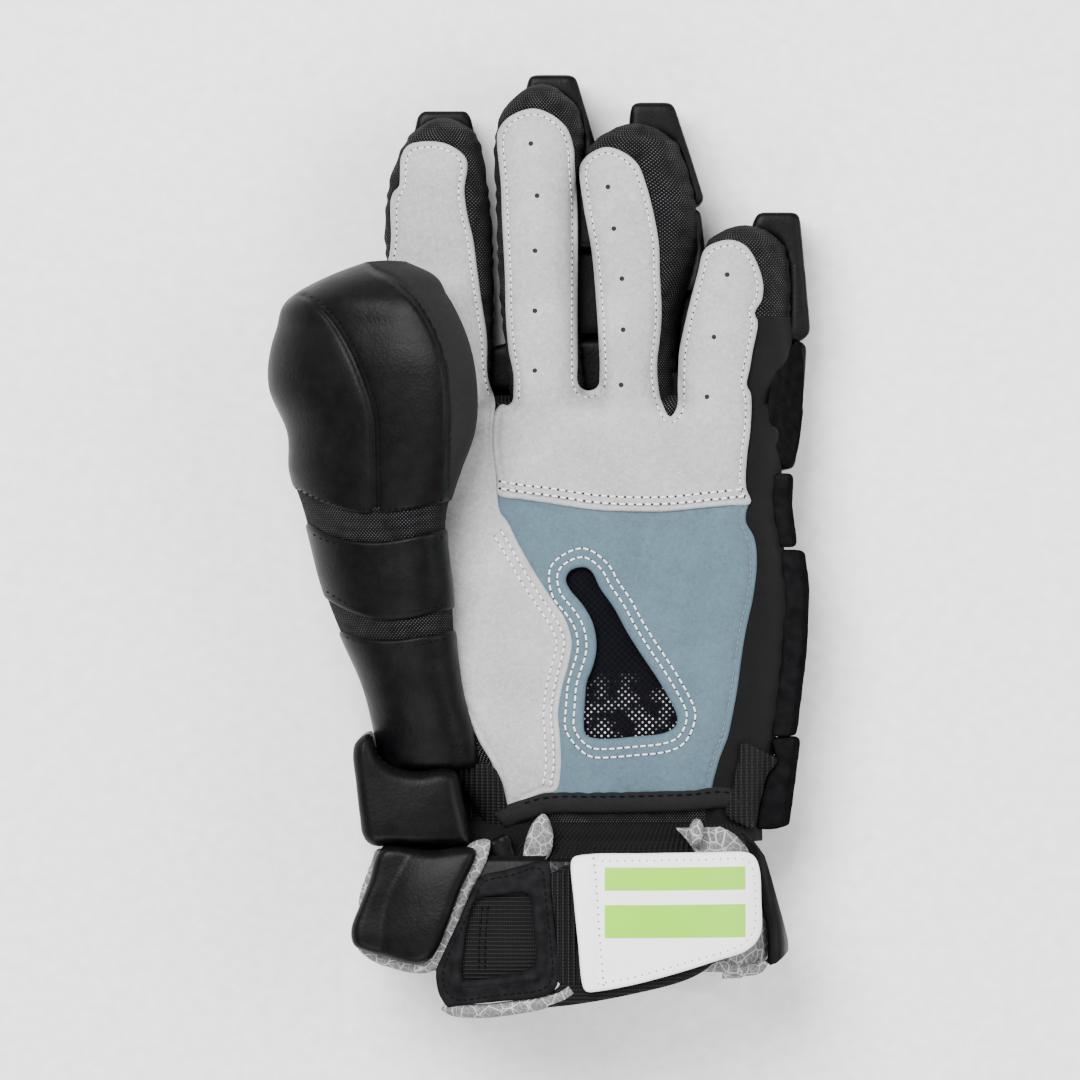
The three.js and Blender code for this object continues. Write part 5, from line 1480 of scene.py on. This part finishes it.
def thumb_pieces():
    """Cap, bands and pads of the thumb."""
    stitches = [stitch_part(curve(line, 1.0, False), thumb_front, pitch=2.3, length=1.5,
                            width=0.55, lift=lift, material=2)
                for line, lift in zip(CAP_STITCHES, (-0.15, -0.1))]
    made = make("thumb_cap", [thumb_cap_part()] + stitches,
                [LOOKS["leather"], LOOKS["dark_suede"], LOOKS["thread_black"]],
                ("thumb_pad_outer", "thumb_pad_inner", "thumb_edge"))
    for name, low, high, lines in (
            ("thumb_mid_pad", MID_LOW, MID_HIGH, MID_STITCHES),
            ("thumb_low_pad", THUMB_END, LOW_HIGH, LOW_STITCHES)):
        ends = (1.8, 1.8) if low is MID_LOW else (3.0, 1.8)
        points, _ = thumb_surface(low, high, 0.0, ends, 60, 150)
        points[..., 2] += 0.25 * waves(points[..., 0], points[..., 1], 5.0)
        parts = [grid_part(points, None, True, True)]
        for line in lines:
            parts.append(stitch_part(curve(line, 1.0, False), thumb_front, pitch=2.5,
                                     length=1.6, width=0.55, lift=-0.1, material=1))
        pad = make(name, parts, [LOOKS["leather"], LOOKS["thread_black"]], (name,))
    for name, low, high in (("thumb_band_upper", MID_HIGH, CAP_LOW),
                            ("thumb_band_lower", LOW_HIGH, MID_LOW)):
        points, below = thumb_surface(low, high, -0.9, (0.0, 0.0), 40, 150, 2.5)
        points[..., 2] += 0.35 * np.sin(below * 1.9)
        make(name, [grid_part(points, None, True, True)], [LOOKS["band"]], (name,))
    inner = thumb_stall()
    made = make("thumb_stall", [inner], [LOOKS["knit"]], ("thumb_stall",))


def thumb_stall():
    """Knitted stall in the thumb: a shell well inside its pads, closed at both ends."""
    ring = angles(64, THUMB_POWER, THUMB_FLATNESS)[None, :]
    y = np.linspace(-76.0, 84.0, 60)[:, None]
    points = tube_point(THUMB, y, ring, -7.6, THUMB_POWER)
    return grid_part(points, None, True, True)


# Wrist

def side_patch():
    """Oval pad on the little finger side, sewn along its front edge."""
    loop = curve(SIDE_PATCH, 1.1)

    def height(x, y, edge):
        return 41.6 - 1.2 * (x - 79.4) + 1.0 * (1 - np.exp(-edge / 3.0)) - roll(edge, 1.5)

    parts = [cut_part([loop], 1.1, height, 3.4, rim=1.5, steps=3),
             stitch_part(curve(SIDE_STITCHES, 1.0, False), on_top(height, [loop]), pitch=2.4,
                         length=1.5, width=0.5, lift=0.1, material=1)]
    made = make("side_patch", parts, [LOOKS["matt"], LOOKS["thread_black"]], ("side_patch",))


def wrist_pieces():
    """Padded wrap at the thumb's root and the two ribbed elastics beside the palm."""
    loop = curve(WRAP_OUTLINE, 1.3)

    def wrap(x, y, edge):
        crown = 1.3 * (1 - np.exp(-edge / 9.0))
        return 65.6 + crown + 0.3 * waves(x, y, 1.0) - roll(edge, 4.2, 4.8)

    part = cut_part([loop], 1.5, wrap, 49.0, rim=4.2, steps=6)

    def top(x, y):
        return wrap(x, y, away(np.column_stack([x, y]), loop))

    stitches = stitch_part(curve(WRAP_STITCHES, 1.0, False), top, pitch=2.6, length=1.7,
                           width=0.6, lift=0.1, material=1)
    made = make("wrist_pad_thumb", [part, stitches], [LOOKS["leather"], LOOKS["thread_black"]],
                ("wrist_pad_thumb",))
    for name, outline, lift in (("wrist_elastic_thumb", WRAP_ELASTIC, 3.2),
                                ("wrist_elastic_little", LITTLE_ELASTIC, 3.0)):
        edge_loop = curve(outline, 1.2)

        def height(x, y, edge, lift=lift):
            base = hand_height(x, np.clip(y, ELASTIC_END, None))
            return base + lift - roll(edge, 1.2, 1.0) + 0.18 * np.sin(x * 3.4)

        part = cut_part([edge_loop], 1.0, height, 2.4, rim=0.9)
        made = make(name, [part], [LOOKS["elastic"]], (name,))
        banded(made)


# Cuff

def cuff_patch(y_low, y_high, angle_low, angle_high, outer, inner, rim, rows=70, count=190,
               foot=None, head=None):
    """Thick patch of the cuff's tube between angles that may change with y, and between a foot
    and a head line in plan; its borders rounded."""
    y = np.linspace(y_low, y_high, rows)[:, None]
    k = np.linspace(0.0, 1.0, count)[None, :]
    share = (y - y_low) / (y_high - y_low)
    dense = angles(2001, CUFF_POWER, 0.5, -2 * np.pi, 2 * np.pi)
    at = np.arange(len(dense), dtype=float)
    level = np.repeat(y, count, axis=1)
    for _ in range(12):
        first = np.interp(np.interp(level, *angle_low), dense, at)
        last = np.interp(np.interp(level, *angle_high), dense, at)
        turn = np.interp(first + (last - first) * k, at, dense)
        x = tube_point(CUFF, level, turn, 0.0, CUFF_POWER)[..., 0]
        bottom = y_low if foot is None else np.interp(x, *np.transpose(foot))
        top = y_high if head is None else np.interp(x, *np.transpose(head))
        level = 0.5 * level + 0.5 * (bottom + share * (top - bottom))
    edge_y = np.minimum(y - y_low, y_high - y)
    length = (last - first) * 0.16
    edge_k = np.minimum(k, 1 - k) * length
    edge = np.minimum(edge_y, edge_k)
    y = level
    half = (outer - inner) / 2
    swell = np.sqrt(1 - np.clip(1 - edge / rim, 0.0, 1.0) ** 2)
    middle = (outer + inner) / 2
    out = tube_point(CUFF, y, turn, middle + half * swell, CUFF_POWER)
    into = tube_point(CUFF, y, turn, middle - half * swell, CUFF_POWER)
    uv = np.stack(np.broadcast_arrays(k * length, y), axis=-1)
    return thick_part(out, into, uv)


EDGE_ANGLE = ((-153.0, -147.0, -134.0, -121.0, -110.0, -101.0),
              (0.38, 0.38, 0.38, 0.48, 0.56, 0.71))


def cuff_pieces():
    """Padded shell of the cuff, its front part, the crackled lining and its folded bits."""
    left = ((-153.0, -101.0), (-3.55, -3.45))
    shell = cuff_patch(-153.2, -101.2, left, EDGE_ANGLE, 0.0, CUFF_WALL, 2.6,
                       foot=BACK_FOOT, head=BACK_HEAD)
    shell[0][:, 2] += 0.3 * waves(shell[0][:, 0], shell[0][:, 1], 6.0)
    made = make("cuff_back", [shell], [LOOKS["leather"]], ("cuff_back",))
    front = cuff_patch(-162.0, -110.0, ((-162.0, -110.0), (-4.60, -4.62)),
                       ((-162.0, -110.0), (-3.40, -3.40)), 0.0, CUFF_WALL, 2.2, 50, 80,
                       foot=FRONT_FOOT)
    made = make("cuff_front", [front], [LOOKS["leather"]], ("cuff_front",))
    y, angle = EDGE_ANGLE
    inner_edge = (y, tuple(a + 0.42 for a in angle))
    lining = cuff_patch(-154.2, -100.6, ((-154.0, -100.0), (-3.6, -3.5)), inner_edge,
                        -5.7, -7.5, 0.8, 70, 200, foot=BACK_FOOT, head=BACK_HEAD)
    loop = curve(TUCKED_LINING, 1.2)
    low_loop = curve(TUCKED_LINING_LOW, 1.2)
    bits = curve(CUFF_BITS, 1.0)

    def folded(x, y, edge):
        return 63.4 + 0.5 * np.sin(x * 0.9 + 0.5 * y) - roll(edge, 1.6)

    def crumpled(x, y, edge):
        return 63.5 + 0.35 * np.sin(x * 0.9) * np.sin(y * 0.5) - roll(edge, 1.6)

    line = curve(CUFF_PIPING_RIGHT, 1.2, False)
    z = cuff_height(line[:, 0], line[:, 1]) - 6.5
    piping = carried_part(np.column_stack([line, z]), oval(4.4, 3.4))
    side_loop = curve(SIDE_LINING, 1.2)

    def beside(x, y, edge):
        return cuff_height(np.clip(x, -58.5, None), y) + 1.2 - roll(edge, 1.0)

    parts = [lining, cut_part([loop], 1.3, folded, 2.0, material=1),
             cut_part([low_loop], 1.3, folded, 2.0), cut_part([bits], 1.0, crumpled, 4.0),
             cut_part([side_loop], 1.0, beside, 2.0, rim=0.8), piping]
    made = make("cuff_lining", parts, [LOOKS["lining"], LOOKS["leather"]], ("cuff_lining",))
    banded(made)


def flap_shift(x, y):
    """How far the flap sinks towards the thumb with the cuff's curve."""
    return np.clip(0.7 * (cuff_height(x, y) - 71.0), -8.5, 1.0)


def flap_pieces():
    """Padded flap below the thumb and the crackled cloth that shows past its edge."""
    loop = curve(FLAP_OUTLINE, 1.3)

    def flap(x, y, edge):
        crown = 0.9 * (1 - np.exp(-edge / 9.0))
        return 78.2 + flap_shift(x, y) + crown + 0.25 * waves(x, y, 8.0) - roll(edge, 3.2, 3.8)

    part = cut_part([loop], 1.5, flap, 13.0, rim=3.2, steps=5)
    made = make("cuff_flap", [part], [LOOKS["leather"]], ("cuff_flap",))
    loop = curve(FLAP_LINING, 1.3)

    def height(x, y, edge):
        return 72.5 + flap_shift(x, y) - roll(edge, 1.8)

    line = curve(PATCH_PIPING, 1.2, False)
    z = cuff_height(line[:, 0], line[:, 1]) + 0.8
    piping = carried_part(np.column_stack([line, z]), oval(5.0, 4.0))
    make("cuff_flap_binding", [cut_part([loop], 1.3, height, 4.5, rim=1.6), piping],
         [LOOKS["lining"]], ("cuff_flap_binding",))


def strap_pieces():
    """Moulded buckle patch, webbing, elastic, strap base and the white pull tab."""
    loop = curve(PATCH_OUTLINE, 1.2)
    hole = curve(PATCH_HOLE, 1.2)
    buckle = curve(BUCKLE_LINE, 1.0)

    def patch(x, y, edge):
        gap = away(np.column_stack([x, y]), buckle)
        ridge = 1.7 * np.sqrt(np.clip(1 - (gap / 2.1) ** 2, 0.0, 1.0))
        return cuff_height(x, y) + 3.7 + ridge - roll(edge, 1.4, 1.2)

    top = inland(patch)
    parts = [cut_part([loop, hole], 1.1, patch, 3.4, rim=1.4)]
    path = curve(PATCH_STITCHES, 1.0)
    parts.append(stitch_part(path, top, True, pitch=2.4, length=1.5, width=0.5, lift=0.1))
    bar = curve(SLOT_BAR, 1.2, False)
    z = cuff_height(bar[:, 0], bar[:, 1]) + 4.6
    parts.append(carried_part(np.column_stack([bar, z]), oval(2.8, 2.2)))
    make("buckle_patch", parts, [LOOKS["moulded"], LOOKS["thread_black"]], ("buckle_patch",))

    def low(x, y, edge):
        return cuff_height(x, y) + 2.3 - roll(edge, 0.8) + 0.12 * np.sin(y * 4.2)

    web_loop = curve(grown(curve(PATCH_HOLE, 3.0), 1.5), 1.2)
    column = [stitch_part(curve(WEBBING_STITCHES, 1.0, False) + [[shift, 0.0]], inland(low),
                          pitch=2.2, length=1.5, width=0.6, lift=0.15) for shift in (0.0, 2.1)]
    made = make("strap_webbing", [cut_part([web_loop], 1.0, low, 1.8, rim=0.8)] + column,
                [LOOKS["webbing"], LOOKS["thread_black"]], ("strap_webbing",))
    sewn(web_loop)

    def elastic(x, y, edge):
        return cuff_height(x, y) + 2.9 - roll(edge, 0.9) + 0.22 * np.sin(x * 3.3)

    loop = curve(STRAP_ELASTIC, 1.0)
    made = make("strap_elastic", [cut_part([loop], 0.8, elastic, 2.4, rim=0.8)],
                [LOOKS["elastic"]], ("strap_elastic",))
    sewn(loop)

    def base(x, y, edge):
        return cuff_height(x, y) + 2.3 - roll(edge, 0.9)

    loop = curve(STRAP_BASE, 1.4)
    made = make("strap_base", [cut_part([loop], 2.0, base, 1.9, rim=0.9)],
                [LOOKS["webbing"]], ("strap_base",))
    sewn(loop)
    tab_loop = curve(TAB_OUTLINE, 1.2)

    def tab(x, y, edge):
        fold = 1.1 / (1 + np.exp((x - TAB_FOLD) / 0.35))
        return (cuff_height(x, y) + 5.5 + fold - roll(edge, 1.1)
                + 0.25 * waves(x, y, 7.0) * np.clip(edge / 5.0, 0.0, 1.0))

    tab_top = inland(tab)
    parts = [cut_part([tab_loop], 1.2, tab, 2.2, rim=1.1)]
    path = curve(TAB_STITCHES, 1.0, False)
    # Grey dots of painted shade at the needle holes round the tab and along its fold.
    parts.append(dot_part(even(path, 2.6), tab_top, 0.32, 1, 0.5))
    fold_line = curve(TAB_FOLD_STITCHES, 1.0, False)
    parts.append(dot_part(even(fold_line, 2.4), tab_top, 0.4, 1, 0.5))
    make("pull_tab", parts, [LOOKS["tab"], LOOKS["grey_thread_and_hole_shade"]], ("pull_tab",))


MATT_PADS = ("side_pad_small", "side_pad_long", "wrist_pad_little")
PADS = ("index_pad_tip", "index_pad_middle", "index_pad_base", "middle_pad_tip",
        "middle_pad_middle", "middle_pad_base", "ring_pad_tip", "ring_pad_middle",
        "ring_pad_base", "little_pad_tip", "little_pad_base", "knuckle_pad", "back_pad_index",
        "back_pad_little", "back_pad_wrist", "side_pad_small", "side_pad_long",
        "wrist_pad_little")


# Settings, operators and panel

class GloveSettings(bpy.types.PropertyGroup):
    """Sizes of the soft pads."""

    cell: FloatProperty(name="Cell", description="Cell of the pads' nets, in millimetres",
                        default=1.1, min=0.6, max=4.0)
    rounds: FloatProperty(name="Rounds", description="Rounds of smoothing of the pads",
                          default=7.0, min=0.0, max=40.0)
    puff: FloatProperty(name="Puff", description="How far the pads swell, in millimetres",
                        default=0.45, min=0.0, max=2.0)


class StudioSettings(bpy.types.PropertyGroup):
    """Camera and light."""

    centre: FloatVectorProperty(name="Centre", description="Point that the camera looks at",
                                default=(0.0, 0.0004, 0.045), size=3,
                                subtype="TRANSLATION", unit="LENGTH")
    distance: FloatProperty(name="Distance", description="Camera above that point",
                            default=3.0, unit="LENGTH")
    width: FloatProperty(name="Frame width", description="Width of the view at that point",
                         default=0.38016, unit="LENGTH")
    key: FloatProperty(name="Key", description="Power of the main light, in watts", default=72.0)
    fill: FloatProperty(name="Fill", description="Power of each side light, in watts",
                        default=21.0)
    world: FloatProperty(name="World", description="Strength of the pale surround",
                         default=0.42)


class GLOVE_OT_looks(bpy.types.Operator):
    """Make the suede, leather, mesh, lining and thread materials"""

    bl_idname = "glove.looks"
    bl_label = "Materials"

    def execute(self, context):
        make_looks()
        return {"FINISHED"}


class GLOVE_OT_hand(bpy.types.Operator):
    """Build the hand's shell, the fingers' sides, the side panel and the wrist's band"""

    bl_idname = "glove.hand"
    bl_label = "Hand and fingers"

    def execute(self, context):
        shell = make("hand_back", [hand_shell()], [LOOKS["mesh"]], ("hand_back",))
        banded(shell)
        for name in FINGERS:
            finger = make(f"{name}_gusset", [finger_part(name)], [LOOKS["mesh"]],
                          (f"{name}_gusset",))
        side = make("side_panel", side_part(), [LOOKS["side_suede"]], ("side_panel",))
        banded(side)
        wrist = make("wristband", [wrist_tube()], [LOOKS["knit"]], ("wristband",))
        banded(wrist)
        return {"FINISHED"}


class GLOVE_OT_palm(bpy.types.Operator):
    """Build the pale and blue leathers, the net in the window and the hem"""

    bl_idname = "glove.palm"
    bl_label = "Palm leathers"

    def execute(self, context):
        # The last two finishes are painted shade for the dots at the holes, dark and grey; the
        # grey one is also the heel's edge thread.
        pale = [LOOKS["pale"], LOOKS["thread_white"], LOOKS["hole"], LOOKS["grey_thread_and_hole_shade"]]
        panel("palm_leather", palm_parts(), pale, PALM_OUTLINE)
        panel("thenar_panel", thenar_parts(), pale, THENAR_OUTLINE)
        heel = panel("heel_panel", heel_parts(), [LOOKS["blue"]] + pale[1:],
                     HEEL_OUTLINE, (WINDOW,))
        loop = curve(grown(curve(WINDOW, 2.0), 4.0), 1.5)

        def deep(x, y, edge):
            return hand_height(x, y) - 2.0 + 0.5 * waves(x * 2.0, y * 2.0, 1.0)

        window = make("heel_mesh", [cut_part([loop], 1.4, deep, 0.9)], [LOOKS["net"]],
                      ("heel_mesh",))
        sewn(loop)
        hem = make("palm_binding", hem_parts(), [LOOKS["dark_suede"], LOOKS["thread_black"]],
                   ("palm_binding",))
        banded(hem)
        return {"FINISHED"}


class GLOVE_OT_thumb(bpy.types.Operator):
    """Build the thumb's cap, bands, pads and stall"""

    bl_idname = "glove.thumb"
    bl_label = "Thumb"

    def execute(self, context):
        thumb_pieces()
        return {"FINISHED"}


class GLOVE_OT_pads(bpy.types.Operator):
    """Build the padded segments of the back and of the little finger side"""

    bl_idname = "glove.pads"
    bl_label = "Back and side pads"

    def execute(self, context):
        set_up = context.scene.glove_sizes
        for name in PADS:
            look = LOOKS["matt" if name in MATT_PADS else "leather"]
            made = softened(name + "_soft", name, look, set_up.cell,
                            int(set_up.rounds), set_up.puff)
        side_patch()
        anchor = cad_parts["strap_anchor"]
        for slot in anchor.material_slots:
            slot.material = LOOKS["leather"]
        return {"FINISHED"}


class GLOVE_OT_wrist(bpy.types.Operator):
    """Build the padded wrap and the two elastics beside the palm"""

    bl_idname = "glove.wrist"
    bl_label = "Wrist"

    def execute(self, context):
        wrist_pieces()
        return {"FINISHED"}


class GLOVE_OT_cuff(bpy.types.Operator):
    """Build the cuff's shell and lining, its flap, and the strap with its pull tab"""

    bl_idname = "glove.cuff"
    bl_label = "Cuff and strap"

    def execute(self, context):
        cuff_pieces()
        flap_pieces()
        strap_pieces()
        return {"FINISHED"}


class GLOVE_OT_stage(bpy.types.Operator):
    """Build the pale floor, the soft studio light and the camera straight above the palm"""

    bl_idname = "glove.stage"
    bl_label = "Stage"

    def execute(self, context):
        studio = context.scene.glove_studio
        mesh = bpy.data.meshes.new("floor")
        mesh.from_pydata([(-3, -3, 0), (3, -3, 0), (3, 3, 0), (-3, 3, 0)], [], [(0, 1, 2, 3)])
        floor = bpy.data.objects.new("floor", mesh)
        mesh.materials.append(plain("floor_white", linear(246, 246, 246), 0.9, 200.0))
        context.scene.collection.objects.link(floor)
        lamps = [("key", (-0.55, 0.75, 1.5), 1.1, studio.key),
                 ("fill_right", (1.1, 0.1, 1.0), 1.2, studio.fill),
                 ("fill_low", (-0.3, -1.2, 1.1), 1.2, studio.fill)]
        for name, place, size, power in lamps:
            light = bpy.data.lights.new(name, "AREA")
            light.shape = "DISK"
            light.size = size
            light.energy = power
            lamp = bpy.data.objects.new(name, light)
            lamp.location = place
            lamp.rotation_mode = "QUATERNION"
            lamp.rotation_quaternion = (-Vector(place)).to_track_quat("-Z", "Y")
            context.scene.collection.objects.link(lamp)
        world = bpy.data.worlds.new("surround")
        world.use_nodes = True
        world.node_tree.nodes["Background"].inputs["Color"].default_value = (1, 1, 1, 1)
        world.node_tree.nodes["Background"].inputs["Strength"].default_value = studio.world
        context.scene.world = world
        lens = bpy.data.cameras.new("camera")
        camera = bpy.data.objects.new("camera", lens)
        camera.location = Vector(studio.centre) + Vector((0, 0, studio.distance))
        lens.sensor_width = 36.0
        lens.lens = 36.0 * studio.distance / studio.width
        lens.clip_end = 20.0
        context.scene.collection.objects.link(camera)
        context.scene.camera = camera
        return {"FINISHED"}


STEPS = (GLOVE_OT_looks, GLOVE_OT_hand, GLOVE_OT_palm, GLOVE_OT_thumb, GLOVE_OT_pads,
         GLOVE_OT_wrist, GLOVE_OT_cuff, GLOVE_OT_stage)


class GLOVE_PT_build(bpy.types.Panel):
    """Lists the glove's settings and building steps"""

    bl_label = "Glove"
    bl_idname = "GLOVE_PT_build"
    bl_space_type = "VIEW_3D"
    bl_region_type = "UI"
    bl_category = "Glove"

    def draw(self, context):
        for group in (context.scene.glove_sizes, context.scene.glove_studio):
            box = self.layout.box()
            for name in group.__annotations__:
                box.prop(group, name)
        for step in STEPS:
            self.layout.operator(step.bl_idname)


CLASSES = (GloveSettings, StudioSettings, *STEPS, GLOVE_PT_build)


def register():
    for cls in CLASSES:
        bpy.utils.register_class(cls)
    bpy.types.Scene.glove_sizes = PointerProperty(type=GloveSettings)
    bpy.types.Scene.glove_studio = PointerProperty(type=StudioSettings)


def unregister():
    del bpy.types.Scene.glove_studio
    del bpy.types.Scene.glove_sizes
    for cls in reversed(CLASSES):
        bpy.utils.unregister_class(cls)


def main():
    register()
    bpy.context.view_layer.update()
    for step in STEPS:
        group, name = step.bl_idname.split(".")
        getattr(getattr(bpy.ops, group), name)()


if __name__ == "__main__":
    main()
